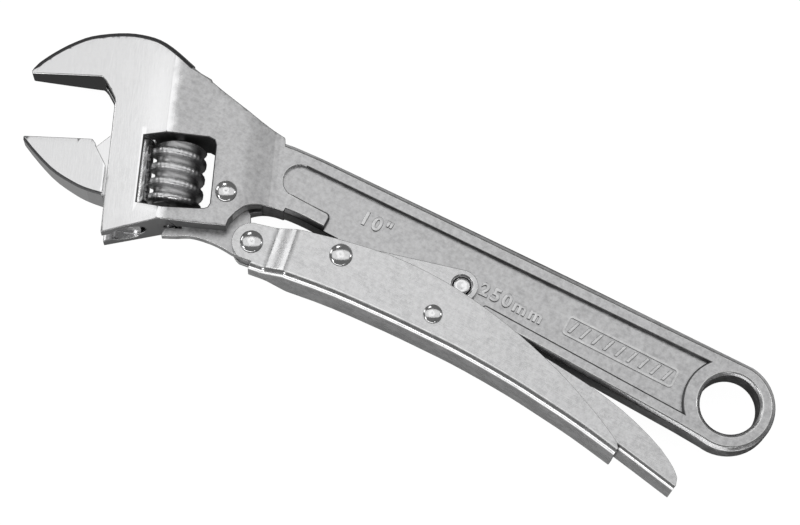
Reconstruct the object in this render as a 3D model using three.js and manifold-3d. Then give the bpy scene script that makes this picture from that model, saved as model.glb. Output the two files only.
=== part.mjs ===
// Adjustable wrench with an over-centre locking lever, nominal 250 mm (10 in).
// Built about the hang hole's centre: +X runs from the head to the hang hole, +Y is the fixed jaw's side and
// +Z is the wrench's thickness. The last step moves the origin to the bottom centre of its bounding box.
import * as THREE from 'three';
import { mergeVertices } from 'three/addons/utils/BufferGeometryUtils.js';
import Module from 'manifold-3d';

const wasm = await Module();
wasm.setup();

// ---------------------------------------------------------------- driving dimensions, in millimetres
const GAP = 0.3;                          // running gap between neighbouring parts
const JAW_ANGLE = 22.5;                   // degrees between the handle and the jaw faces
const HEAD_AT = [-190, -12];              // where the head's own (s, t) axes start: s along the jaw faces
const RIDGE_HALF = 9.0;                   // half thickness of the head at its ridge, s = 0
const SHANK_HALF = 8.0;                   // half thickness behind the ridge
const HANDLE_HALF = 5.0;                  // half thickness of the handle
const PANEL_HALF = 3.2;                   // half thickness of the recessed panel
const CHAMFER = 1.2;                      // along the handle's edges
const RING_R = 14.4;                      // round the hang hole
const HANG_HOLE_R = 9.2;
const HANG_CHAMFER = 1.0;
const RECESS_END_R = 14.7;                // the recess stops on a circle round the hang hole
const FIXED_FACE_T = 25.3;                // t of the fixed jaw's face
const REST_OPENING = 20.9;                // between the jaws as modelled
const RAIL_S = -10.2;                     // centre line of the movable jaw's rail
const RAIL_R = 5.4;
const NECK_HALF = 2.6;                    // half thickness of the neck between rail and jaw
const RAIL_BOTTOM = -21.5;
const NECK_TOP = 7.4;
const WORM_S = 3.1;                       // centre line of the worm and its pin
const WORM_R = 9.0;
const WORM_ROOT_R = 6.8;
const WORM_FROM = -13.9;
const WORM_TO = 6.1;
const PITCH = 5.0;                        // of the worm thread and the rack
const PIN_R = 2.0;
const PIN_FROM = -20.3;
const PIN_TO = 10.2;
const PIN_BORE_TO = 15.6;
const CRANK_HALF = 1.75;                  // half thickness of the bell crank
const LINK_IN = 3.5;                      // inner and outer faces of the toggle links
const LINK_OUT = 5.2;
const LINK_R = 5.1;
const SHEET = 1.8;                        // wall of the pressed hand lever
const LEVER_HALF = 8.7;                   // half width of the hand lever
const NOSE_HALF = 4.6;                    // half width of its narrow front end
const JOGGLE_FROM = -149.2;               // the side walls spread apart between these
const JOGGLE_TO = -140.4;
const JOGGLE_LEAN = 9.5;                  // degrees the spreading zone leans from the Y axis
const RELEASE_OUT = 6.7;                  // outer half width of the release lever
const RELEASE_SHEET = 1.2;
const PIVOT_A = [-168.44, -13.03];        // bell crank on the frame
const PIVOT_B = [-154.28, -22.85];        // bell crank on the hand lever
const PIVOT_C = [-127.21, -14.75];        // hand lever on the toggle links
const PIVOT_D = [-89.99, -4.92];          // toggle links on the frame
const PIVOT_E = [-93.51, -18.22];         // release lever on the hand lever

// ---------------------------------------------------------------- finishes
const finish = (color, roughness, metalness = 1) => ({ color, roughness, metalness });
const PLATED = finish(0xb9bbbd, 0.34);
const POLISHED = finish(0xd6d8da, 0.14);
const PRESSED = finish(0xbfc1c3, 0.28);
const RIVET = finish(0xcfd1d3, 0.12);
const SPRING = finish(0x8d8f92, 0.3);

// ---------------------------------------------------------------- helpers
const rad = THREE.MathUtils.degToRad;
const ALONG_S = new THREE.Vector3(Math.cos(rad(JAW_ANGLE)), Math.sin(rad(JAW_ANGLE)), 0);
const ALONG_T = new THREE.Vector3(-Math.sin(rad(JAW_ANGLE)), Math.cos(rad(JAW_ANGLE)), 0);
const UP = new THREE.Vector3(0, 0, 1);

// A point given in the head's own axes, as [x, y].
function st(s, t) {
  return [HEAD_AT[0] + s * ALONG_S.x + t * ALONG_T.x, HEAD_AT[1] + s * ALONG_S.y + t * ALONG_T.y];
}

// A closed solid from a three.js geometry.
function solid(geometry) {
  const bare = geometry.clone();
  bare.deleteAttribute('normal');
  bare.deleteAttribute('uv');
  const merged = mergeVertices(bare, 1e-4);
  const vertProperties = Float32Array.from(merged.attributes.position.array);
  const triVerts = Uint32Array.from(merged.index.array);
  return new wasm.Manifold(new wasm.Mesh({ numProp: 3, vertProperties, triVerts }));
}

// Points on a smooth curve through the given ones.
function curve(points, steps) {
  const spline = new THREE.SplineCurve(points.map(([x, y]) => new THREE.Vector2(x, y)));
  return spline.getPoints(steps).map((p) => [p.x, p.y]);
}

// Points on an arc from one angle to another, in degrees.
function arc([cx, cy], r, from, to, steps) {
  const points = [];
  for (let i = 0; i <= steps; i += 1) {
    const a = rad(from + ((to - from) * i) / steps);
    points.push([cx + r * Math.cos(a), cy + r * Math.sin(a)]);
  }
  return points;
}

function shapeOf(points) {
  return new THREE.Shape(points.map(([x, y]) => new THREE.Vector2(x, y)));
}

// A flat plate with the given outline, from z0 to z1.
function plate(points, z0, z1) {
  const geometry = new THREE.ExtrudeGeometry(shapeOf(points), { depth: z1 - z0, bevelEnabled: false });
  geometry.translate(0, 0, z0);
  return solid(geometry);
}

// A plate whose top and bottom edges are chamfered inwards.
function chamferedPlate(points, half, size) {
  const geometry = new THREE.ExtrudeGeometry(shapeOf(points), {
    depth: 2 * (half - size),
    bevelEnabled: true,
    bevelThickness: size,
    bevelSize: size,
    bevelOffset: -size,
    bevelSegments: 1,
  });
  geometry.translate(0, 0, size - half);
  return solid(geometry);
}

// A turned piece about the Z axis through a point; profile holds [radius, z] from bottom to top.
function turned([cx, cy], profile, segments = 32) {
  const points = profile.map(([r, z]) => new THREE.Vector2(r, z));
  const geometry = new THREE.LatheGeometry(points, segments);
  geometry.rotateX(Math.PI / 2);
  geometry.translate(cx, cy, 0);
  return solid(geometry);
}

function cylinder(at, r, z0, z1, segments = 32) {
  return turned(at, [[0, z0], [r, z0], [r, z1], [0, z1]], segments);
}

// Moves a geometry made along its own Y axis so that Y runs along t, at the given s.
function alongT(geometry, s) {
  const side = new THREE.Vector3().crossVectors(ALONG_T, UP);
  const basis = new THREE.Matrix4().makeBasis(side, ALONG_T, UP);
  const [x, y] = st(s, 0);
  basis.setPosition(x, y, 0);
  return geometry.applyMatrix4(basis);
}

// A round bar along t.
function bar(s, r, t0, t1, segments = 32) {
  const geometry = new THREE.CylinderGeometry(r, r, t1 - t0, segments);
  geometry.translate(0, (t0 + t1) / 2, 0);
  return solid(alongT(geometry, s));
}

// Half thickness of the head at a distance s from its ridge.
function halfThickness(s) {
  if (s < 0) return RIDGE_HALF + 0.075 * s - 0.00095 * s * s;
  const behind = Math.max(RIDGE_HALF - 0.09 * s, SHANK_HALF);
  const k = Math.min(Math.max((s - 23) / 12, 0), 1);
  return behind + (HANDLE_HALF - behind) * k * k * (3 - 2 * k);
}

// The head's thickness as a solid running along t, wide enough to cut any plate to that thickness.
function thicknessSolid() {
  const stations = [-60, -46, -40, -34, -28, -22, -16, -11, -6, -2.5, -0.8, 0.8, 2.5, 6, 11, 18, 23,
    25, 27, 29, 31, 33, 35, 60];
  const height = (s) => (Math.abs(s) < 1 ? RIDGE_HALF - 0.05 : halfThickness(s));
  const upper = stations.map((s) => [s, height(s)]);
  const lower = stations.map((s) => [s, -height(s)]).reverse();
  const section = shapeOf([...lower, ...upper]);
  const geometry = new THREE.ExtrudeGeometry(section, { depth: 140, bevelEnabled: false });
  geometry.translate(0, 0, -70);
  const across = ALONG_T.clone().negate();
  const basis = new THREE.Matrix4().makeBasis(ALONG_S, UP, across);
  basis.setPosition(HEAD_AT[0], HEAD_AT[1], 0);
  return solid(geometry.applyMatrix4(basis));
}

// ---------------------------------------------------------------- frame: head, fixed jaw, handle, hang hole
const CONCAVE = [[-131.3, -9.2], [-138.8, -9.1], [-144.8, -9.1], [-151.2, -9.7], [-156.8, -11.2],
  [-160.7, -13.9], [-162.5, -17.3], [-163.5, -20.8]];

function headOutline() {
  const back = curve([[-46.0, 26.2], [-44.6, 28.9], [-41.9, 31.4], [-38.4, 34.0], [-34.0, 36.7],
    [-28.0, 39.3], [-18.6, 40.8], [-11.0, 40.4], [-4.6, 38.4], [2.8, 33.3], [12.5, 25.8], [19.9, 20.7],
    [27.6, 15.7], [36.0, 11.2]], 42).map(([s, t]) => st(s, t));
  const throat = curve([[-18.3, 16.6], [-18.6, 18.6], [-22.0, 24.0], [-23.6, FIXED_FACE_T]], 6)
    .map(([s, t]) => st(s, t));
  return [
    ...throat,
    st(-45.7, FIXED_FACE_T),
    ...back,
    [-150, -7.0],
    [-150, -9.55],
    ...curve(CONCAVE, 24).filter(([x]) => x < -151),
    st(20.6, -20.3),
    st(-0.6, -20.3),
    st(-17.8, -25.9),
  ].reverse();
}

function handleOutline() {
  const top = curve([[-168, 9.5], [-153.6, 11.5], [-125, 12.3], [-92.7, 13.0], [-59.2, 13.6],
    [-14, 14.0]], 12);
  const ring = arc([0, -0.2], RING_R, 84, -100, 30);
  const concave = curve(CONCAVE, 24).filter(([x]) => x > -156);
  return [...top, ...ring, [-12, -13.8], ...concave, [-168, -9]].reverse();
}

// The open-bottomed recess on each side of the handle.
function recess() {
  const outline = [
    ...arc([-150.2, 1.7], 5.3, 95, 270, 14),
    ...arc([-138.0, -5.1], 1.6, 90, 0, 4),
    [-136.4, -20],
    [-82.6, -20],
    [-82.6, -8.6],
    [-80.6, -6.9],
    [-9, -9.1],
    [-9, 9.2],
  ];
  const deep = HANDLE_HALF - PANEL_HALF + 5;
  const side = plate(outline, PANEL_HALF, PANEL_HALF + deep);
  const other = plate(outline, -PANEL_HALF - deep, -PANEL_HALF);
  return side.add(other).subtract(cylinder([0, 0], RECESS_END_R, -12, 12, 72));
}

function hangHole() {
  const edge = HANG_HOLE_R + HANG_CHAMFER + 1;
  const step = HANDLE_HALF - HANG_CHAMFER;
  const profile = [[0, -6], [edge, -6], [HANG_HOLE_R, -step], [HANG_HOLE_R, step], [edge, 6], [0, 6]];
  return turned([0, 0], profile, 48);
}

// Opening the worm sits in, from face to face.
function wormWindow() {
  const points = [[-7.8, 6.6], [-0.9, 8.0], [12.4, 8.0], [14.2, 7.2], [14.8, 5.6], [14.9, -13.4],
    [14.3, -14.7], [13.2, -15.2], [0.3, -16.1], [-7.8, -15.2]].map(([s, t]) => st(s, t));
  return plate(points.reverse(), -12, 12);
}

// Bore and slot the movable jaw's rail and neck slide in.
function railChannel() {
  const r = RAIL_R + GAP;
  const top = NECK_TOP + REST_OPENING + 0.6;
  const slot = [[-26, -34], [RAIL_S, -34], [RAIL_S, top], [-18.6, top], [-22.8, top - 4.2], [-26, top - 4.2]]
    .map(([s, t]) => st(s, t));
  const half = NECK_HALF + GAP;
  return bar(RAIL_S, r, -34, top, 40).add(plate(slot, -half, half));
}

// Slot that the bell crank turns in, open to the underside and to the concave edge.
function crankSlot() {
  const left = [[5.7, -24], [5.7, -17.6], [7.0, -17.1], [14.8, -16.2], [15.7, -12.5]]
    .map(([s, t]) => st(s, t));
  const [ax, ay] = PIVOT_A;
  const over = arc([ax, ay], 3.8, 205, 85, 8);
  const outline = [...left, ...over, [-161.0, -9.5], [-156.2, -10.6], [-150, -16], [-150, -38], [-178, -38]];
  const half = CRANK_HALF + GAP;
  return plate(outline.reverse(), -half, half);
}

function frameBody() {
  const head = plate(headOutline(), -12, 12).intersect(thicknessSolid());
  return head
    .add(chamferedPlate(handleOutline(), HANDLE_HALF, CHAMFER))
    .subtract(recess())
    .subtract(hangHole())
    .subtract(wormWindow())
    .subtract(railChannel())
    .subtract(bar(WORM_S, PIN_R + GAP, -30, PIN_BORE_TO, 24))
    .subtract(crankSlot())
    .subtract(cylinder(PIVOT_A, 2.7, -12, 12, 28))
    .subtract(cylinder(PIVOT_D, 2.9, -12, 12, 28));
}

// ---------------------------------------------------------------- movable jaw with its rail and rack
const MOVING_FACE_T = FIXED_FACE_T - REST_OPENING;

function movableJaw() {
  const belly = curve([[-18.8, -13.7], [-23.5, -12.6], [-28.0, -10.9], [-35.0, -7.0], [-41.2, -1.6],
    [-45.9, 3.3]], 14);
  const outline = [[-45.8, MOVING_FACE_T], [-23.9, MOVING_FACE_T], [-22.7, 3.0], [-22.6, 2.2],
    [-18.8, -3.9], ...belly].map(([s, t]) => st(s, t));
  const jaw = plate(outline.reverse(), -12, 12).intersect(thicknessSolid());
  const neck = [[-24.2, 2.8], [-22.9, 3.4], [-18.9, NECK_TOP], [RAIL_S, NECK_TOP], [RAIL_S, -12.4],
    [-20, -12.4], [-24.2, -10]].map(([s, t]) => st(s, t));
  let body = jaw
    .add(plate(neck.reverse(), -NECK_HALF, NECK_HALF))
    .add(bar(RAIL_S, RAIL_R, RAIL_BOTTOM, NECK_TOP, 40));
  for (let t = WORM_FROM - PITCH * 1.5; t < NECK_TOP + PITCH; t += PITCH) {
    body = body.subtract(rackGap(t));
  }
  return body;
}

// One tooth space of the rack, centred on t.
function rackGap(t) {
  const bottom = WORM_S - WORM_R - 0.35;
  const points = [[bottom, t - 1.25], [-2, t - 2.0], [-2, t + 2.0], [bottom, t + 1.25]]
    .map(([s, u]) => st(s, u));
  return plate(points, -8, 8);
}

// ---------------------------------------------------------------- worm, its pin and its spring
// How far the thread stands up at a place in its pitch, 0 at the crest's middle, from 0 to 1.
function threadHeight(phase) {
  const away = Math.abs(phase - Math.round(phase)) * PITCH;
  return THREE.MathUtils.clamp((1.5 - away) / 0.7, 0, 1);
}

function worm() {
  const length = WORM_TO - WORM_FROM;
  const geometry = new THREE.CylinderGeometry(1, 1, length, 36, 48);
  const place = geometry.attributes.position;
  for (let i = 0; i < place.count; i += 1) {
    const x = place.getX(i);
    const y = place.getY(i);
    const z = place.getZ(i);
    if (Math.hypot(x, z) < 0.5) continue;
    const turn = Math.atan2(z, x) / (2 * Math.PI);
    const fade = THREE.MathUtils.clamp((length / 2 - Math.abs(y)) / 0.9, 0, 1);
    const r = WORM_ROOT_R + (WORM_R - WORM_ROOT_R) * threadHeight(y / PITCH - turn) * (0.35 + 0.65 * fade);
    place.setXYZ(i, x * r, y, z * r);
  }
  geometry.translate(0, (WORM_FROM + WORM_TO) / 2, 0);
  return solid(alongT(geometry, WORM_S)).subtract(bar(WORM_S, PIN_R + GAP, WORM_FROM - 1, WORM_TO + 1, 24));
}

function wormPin() {
  const profile = [[0, PIN_FROM], [PIN_R - 0.5, PIN_FROM], [PIN_R, PIN_FROM + 0.5], [PIN_R, PIN_TO - 0.4],
    [PIN_R - 0.4, PIN_TO], [0, PIN_TO]];
  const points = profile.map(([r, t]) => new THREE.Vector2(r, t));
  return solid(alongT(new THREE.LatheGeometry(points, 24), WORM_S));
}

// A coil about an axis; place turns two radial distances and one along the axis into a position.
function coil(radius, wire, from, to, turns, place) {
  const points = [];
  const steps = Math.round(turns * 14);
  for (let i = 0; i <= steps; i += 1) {
    const a = (2 * Math.PI * turns * i) / steps;
    points.push(place(radius * Math.cos(a), radius * Math.sin(a), from + ((to - from) * i) / steps));
  }
  const path = new THREE.CatmullRomCurve3(points);
  const section = shapeOf(arc([0, 0], wire, 0, 300, 5));
  const geometry = new THREE.ExtrudeGeometry(section, { steps, extrudePath: path, bevelEnabled: false });
  return solid(geometry);
}

function pinSpring() {
  const [x0, y0] = st(WORM_S, 0);
  const place = (a, b, t) => new THREE.Vector3(x0, y0, 0)
    .addScaledVector(ALONG_T, t).addScaledVector(ALONG_S, a).addScaledVector(UP, b);
  return coil(1.45, 0.32, PIN_TO + 0.6, PIN_BORE_TO - 0.6, 4, place);
}

// ---------------------------------------------------------------- bell crank
function bellCrank() {
  const [ax, ay] = PIVOT_A;
  const nose = [[0.5, -23.6], [0.6, -22.6], [1.6, -20.9], [2.4, -20.6], [6.4, -20.6], [6.6, -18.3],
    [15.4, -16.9], [16.5, -12.0]].map(([s, t]) => st(s, t));
  const outline = [
    ...nose,
    ...arc([ax, ay], 3.3, 195, 50, 10),
    [-161.4, -13.0],
    [-159.2, -14.3],
    [-157.9, -16.6],
    ...arc(PIVOT_B, 5.6, 110, -108, 14),
    ...curve([[-158.5, -28.3], [-163.6, -28.0], [-168.5, -28.5], [-172.6, -29.5], [-176.0, -31.4]], 8),
    [-178.2, -32.5],
  ];
  return plate(outline.reverse(), -CRANK_HALF, CRANK_HALF)
    .subtract(cylinder(PIVOT_A, 2.6, -4, 4, 28))
    .subtract(cylinder(PIVOT_B, 3.4, -4, 4, 32));
}

// ---------------------------------------------------------------- rivets, pins, sleeves and washers
// A rivet with a shank and a low domed head on both sides.
function rivet(at, shank, head, seat, height) {
  const rise = (angle) => [head * Math.cos(rad(angle)), height * (0.25 + 0.75 * Math.sin(rad(angle)))];
  const dome = [0, 22.5, 45, 67.5].map(rise);
  const upper = [[shank, seat], [head, seat], ...dome.map(([r, z]) => [r, seat + z]), [0, seat + height]];
  const lower = upper.map(([r, z]) => [r, -z]).reverse();
  return turned(at, [...lower, ...upper], 28);
}

function sleeve(at, inner, outer, z0, z1) {
  return cylinder(at, outer, z0, z1, 28).subtract(cylinder(at, inner, z0 - 1, z1 + 1, 28));
}

function framePin() {
  const end = LINK_OUT - 0.1;
  const profile = [[0, -end], [2.3, -end], [2.6, 0.3 - end], [2.6, end - 0.3], [2.3, end], [0, end]];
  return turned(PIVOT_D, profile, 28);
}

// ---------------------------------------------------------------- toggle links
function toggleLink(side) {
  const [cx, cy] = PIVOT_C;
  const [dx, dy] = PIVOT_D;
  const lean = THREE.MathUtils.radToDeg(Math.atan2(dy - cy, dx - cx));
  const outline = [
    ...arc(PIVOT_C, LINK_R, lean + 270, lean + 90, 14),
    ...arc(PIVOT_D, LINK_R, lean + 90, lean - 90, 14),
  ];
  const z0 = side > 0 ? LINK_IN : -LINK_OUT;
  const z1 = side > 0 ? LINK_OUT : -LINK_IN;
  const out = side * LINK_OUT;
  const countersink = turned(PIVOT_D, side > 0
    ? [[0, 2.5], [2.9, 2.5], [2.9, out - 0.7], [4.0, out + 0.4], [0, out + 0.4]]
    : [[0, out - 0.4], [4.0, out - 0.4], [2.9, out + 0.7], [2.9, -2.5], [0, -2.5]], 28);
  return plate(outline.reverse(), z0, z1).subtract(countersink).subtract(cylinder(PIVOT_C, 2.9, -8, 8, 28));
}

// ---------------------------------------------------------------- hand lever
const LEVER_TOP = [[-155.4, -16.8], [-150.4, -15.5], [-145.2, -14.1], [-133.5, -11.2], [-129.0, -10.2],
  [-121.8, -8.8], [-113.5, -7.5], [-104.2, -7.0], [-94.2, -7.2], [-83.8, -8.3], [-73.5, -10.1],
  [-63.3, -12.5], [-50.1, -16.6], [-37.8, -21.6], [-29.3, -25.7], [-25.4, -28.0]];
const LEVER_WEB = [[-151.4, -30.9], [-141.7, -29.6], [-124.7, -27.5], [-107, -26.4], [-93, -26.0],
  [-80.4, -25.9], [-64.8, -26.6], [-52.7, -27.7], [-38.6, -29.4], [-24.8, -31.7]];

// The joggled width of the pressed channel, narrow at the front, as a solid cutter.
function channelWidth(narrow, wide) {
  const half = [[-175, narrow], [JOGGLE_FROM, narrow], [JOGGLE_FROM + 1.6, narrow + 0.35],
    [JOGGLE_TO - 1.6, wide - 0.35], [JOGGLE_TO, wide], [20, wide]];
  const outline = [...half, ...half.map(([x, z]) => [x, -z]).reverse()];
  const geometry = new THREE.ExtrudeGeometry(shapeOf(outline.reverse()), { depth: 160, bevelEnabled: false });
  geometry.translate(0, 0, -80);
  geometry.rotateX(Math.PI / 2);
  geometry.translate(-JOGGLE_TO, 20, 0);
  geometry.rotateZ(rad(JOGGLE_LEAN));
  geometry.translate(JOGGLE_TO, -20, 0);
  return solid(geometry);
}

function handLever() {
  const web = curve(LEVER_WEB, 26);
  const front = arc(PIVOT_B, 6.2, 258, 100, 14);
  const top = curve(LEVER_TOP, 34);
  const outline = [...web.slice().reverse(), [-151.4, -28.35], ...front, ...top, [-24.5, -29.6]];
  const webInside = curve(LEVER_WEB.map(([x, y]) => [x, y + SHEET]), 26);
  const inside = [...webInside.reverse(), [-151.4, -29.1], [-151.4, -45], [-170, -45], [-170, 10],
    [-15, 10], [-15, -29.5]];
  const inner = channelWidth(NOSE_HALF - SHEET, LEVER_HALF - SHEET);
  const outer = channelWidth(NOSE_HALF, LEVER_HALF);
  return plate(outline.reverse(), -12, 12)
    .intersect(outer)
    .subtract(plate(inside.reverse(), -12, 12).intersect(inner))
    .subtract(cylinder(PIVOT_B, 2.7, -12, 12, 28))
    .subtract(cylinder(PIVOT_C, 2.9, -12, 12, 28))
    .subtract(cylinder(PIVOT_E, 2.4, -12, 12, 28));
}

// ---------------------------------------------------------------- release lever and its spring
const RELEASE_TOP = [[-98.6, -15.6], [-95, -14.0], [-89, -13.2], [-75, -13.2], [-60, -13.6], [-47.6, -14.6],
  [-37.1, -15.9], [-26.2, -18.2], [-14.5, -22.2], [-7.4, -26.1], [-4.6, -28.7]];
const RELEASE_WEB = [[-97.0, -23.2], [-80.4, -23.3], [-64.8, -23.8], [-52.7, -24.9], [-38.6, -26.7],
  [-23.1, -29.3], [-4.2, -32.8]];

function releaseLever() {
  const inHalf = RELEASE_OUT - RELEASE_SHEET;
  const web = curve(RELEASE_WEB, 16).reverse();
  const outline = [...web, ...arc(PIVOT_E, 5.4, 235, 155, 6), ...curve(RELEASE_TOP, 22), [-3.9, -31.0]];
  const webInside = curve(RELEASE_WEB.map(([x, y]) => [x, y + RELEASE_SHEET]), 16).reverse();
  const inside = [...webInside, [-104, -22.0], [-104, 0], [0, 0], [0, -32.6]];
  return plate(outline.reverse(), -RELEASE_OUT, RELEASE_OUT)
    .subtract(plate(inside.reverse(), -inHalf, inHalf))
    .subtract(cylinder(PIVOT_E, 2.4, -12, 12, 28));
}

function releaseSpring() {
  const [ex, ey] = PIVOT_E;
  const place = (a, b, z) => new THREE.Vector3(ex + a, ey + b, z);
  return coil(3.2, 0.36, -3.4, 3.4, 5.25, place);
}

// ---------------------------------------------------------------- assembly
const parts = [
  ['frame', frameBody(), PLATED],
  ['movable_jaw', movableJaw(), POLISHED],
  ['worm', worm(), PRESSED],
  ['worm_pin', wormPin(), RIVET],
  ['pin_spring', pinSpring(), SPRING],
  ['bell_crank', bellCrank(), PLATED],
  ['head_rivet', rivet(PIVOT_A, 2.4, 3.4, SHANK_HALF + 0.1, 1.3), RIVET],
  ['lever_rivet', rivet(PIVOT_B, 2.4, 3.6, NOSE_HALF + 0.1, 1.2), RIVET],
  ['crank_washer_front', sleeve(PIVOT_B, 2.7, 5.4, 2.0, 2.6), RIVET],
  ['crank_washer_rear', sleeve(PIVOT_B, 2.7, 5.4, -2.6, -2.0), RIVET],
  ['toggle_link_front', toggleLink(1), PRESSED],
  ['toggle_link_rear', toggleLink(-1), PRESSED],
  ['link_spacer', sleeve(PIVOT_C, 2.9, 4.4, -LINK_IN + 0.2, LINK_IN - 0.2), RIVET],
  ['frame_pin', framePin(), RIVET],
  ['hand_lever', handLever(), PRESSED],
  ['toggle_rivet', rivet(PIVOT_C, 2.6, 3.6, LEVER_HALF + 0.1, 1.2), RIVET],
  ['toggle_washer_front', sleeve(PIVOT_C, 2.9, 4.6, LINK_OUT + 0.2, LEVER_HALF - SHEET - 0.2), RIVET],
  ['toggle_washer_rear', sleeve(PIVOT_C, 2.9, 4.6, SHEET + 0.2 - LEVER_HALF, -LINK_OUT - 0.2), RIVET],
  ['release_lever', releaseLever(), PRESSED],
  ['release_rivet', rivet(PIVOT_E, 2.1, 3.0, LEVER_HALF + 0.1, 1.0), RIVET],
  ['release_sleeve', sleeve(PIVOT_E, 2.35, 2.75, -5.3, 5.3), RIVET],
  ['release_spring', releaseSpring(), SPRING],
];

// A three.js mesh from a solid, with flat faces and its finish.
function meshOf(name, body, look) {
  const { vertProperties, triVerts } = body.getMesh();
  const indexed = new THREE.BufferGeometry();
  indexed.setAttribute('position', new THREE.BufferAttribute(vertProperties, 3));
  indexed.setIndex(new THREE.BufferAttribute(triVerts, 1));
  const mesh = new THREE.Mesh(indexed, new THREE.MeshStandardMaterial(look));
  mesh.name = name;
  return mesh;
}

const wrench = new THREE.Group();
wrench.name = 'adjustable_wrench';
parts.forEach(([name, body, look]) => wrench.add(meshOf(name, body, look)));

// Origin at the bottom centre of the bounding box.
const bounds = new THREE.Box3().setFromObject(wrench);
const middle = bounds.getCenter(new THREE.Vector3());
wrench.children.forEach((mesh) => mesh.geometry.translate(-middle.x, -middle.y, -bounds.min.z));

export default wrench;
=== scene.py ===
"""Looks of a locking adjustable wrench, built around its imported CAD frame."""
import logging
import math
from collections.abc import Callable, Iterable
from dataclasses import dataclass
from enum import Enum

import bmesh
import bpy
from bmesh.types import BMEdge, BMesh, BMFace
from mathutils import Matrix, Vector


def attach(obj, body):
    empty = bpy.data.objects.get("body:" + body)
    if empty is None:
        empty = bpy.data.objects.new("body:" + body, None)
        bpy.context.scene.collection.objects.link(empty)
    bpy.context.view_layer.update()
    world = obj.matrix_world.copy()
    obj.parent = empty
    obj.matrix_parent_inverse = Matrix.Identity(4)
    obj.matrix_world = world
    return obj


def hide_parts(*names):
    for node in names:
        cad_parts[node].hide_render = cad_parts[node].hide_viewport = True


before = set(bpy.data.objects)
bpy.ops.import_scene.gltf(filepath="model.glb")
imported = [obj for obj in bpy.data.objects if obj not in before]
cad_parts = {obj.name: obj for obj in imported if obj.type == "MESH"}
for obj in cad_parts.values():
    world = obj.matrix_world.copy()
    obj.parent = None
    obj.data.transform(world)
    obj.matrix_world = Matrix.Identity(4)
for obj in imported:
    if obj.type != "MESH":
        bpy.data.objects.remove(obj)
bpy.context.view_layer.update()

LOG = logging.getLogger("wrench")
MM = 0.001
WELD = 1e-6
FLAT_ANGLE = math.radians(0.6)
SHADING_BREAK = 50.0
EDGE_LAYER = "edge"
# Face layer that holds painted shade on rounded rims, recess walls, thread roots and rivet feet; on some
# unplated walls it also stands for dark scale.
SHADE_AND_SCALE_LAYER = "shade_and_scale"
ROUND_LAYER = "round"
EdgeTest = Callable[[BMEdge], bool]
FaceTest = Callable[[BMFace], bool]
Colour = tuple[float, float, float]
Flat = tuple[float, float]


class Side(Enum):
    """Which broad side of the wrench a piece is on."""

    FRONT = 1
    REAR = -1


class Slot(Enum):
    """The record's material slots."""

    PLATED = "plated_steel"
    POLISHED = "polished_steel"
    PRESSED = "pressed_steel"
    THREAD = "thread_steel"
    RIVET = "rivet_steel"
    SPRING = "spring_steel"


@dataclass(frozen=True)
class WrenchAxes:
    """Turns the maker's millimetres into the frame's metres.

    Handle sizes count from the hang hole's centre: x towards the hang hole,
    y towards the fixed jaw and z through the thickness. Head sizes use s along
    the jaw faces and t across them.
    """

    hang_hole: Vector
    head_x: float = -190.0
    head_y: float = -12.0
    jaw_angle: float = math.radians(22.5)

    @property
    def along_s(self) -> Vector:
        """Unit vector along the jaw faces."""
        return Vector((math.cos(self.jaw_angle), math.sin(self.jaw_angle), 0.0))

    @property
    def along_t(self) -> Vector:
        """Unit vector across the jaw faces, towards the fixed jaw."""
        return Vector((-math.sin(self.jaw_angle), math.cos(self.jaw_angle), 0.0))

    def at(self, x: float, y: float, z: float = 0.0) -> Vector:
        """Place in the frame of a handle size in millimetres."""
        return self.hang_hole + Vector((x, y, z)) * MM

    def head_at(self, s: float, t: float, z: float = 0.0) -> Vector:
        """Place in the frame of a head size in millimetres."""
        origin = self.at(self.head_x, self.head_y, z)
        return origin + (self.along_s * s + self.along_t * t) * MM

    def handle_size(self, place: Vector) -> Vector:
        """Handle x, y and z in millimetres of a place in the frame."""
        return (place - self.hang_hole) / MM

    def head_size(self, place: Vector) -> Vector:
        """Head s, t and z in millimetres of a place in the frame."""
        away = (place - self.at(self.head_x, self.head_y)) / MM
        return Vector((away.dot(self.along_s), away.dot(self.along_t), away.z))


AXES = WrenchAxes(hang_hole=Vector((0.114066, 0.010478, 0.010)))


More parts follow.
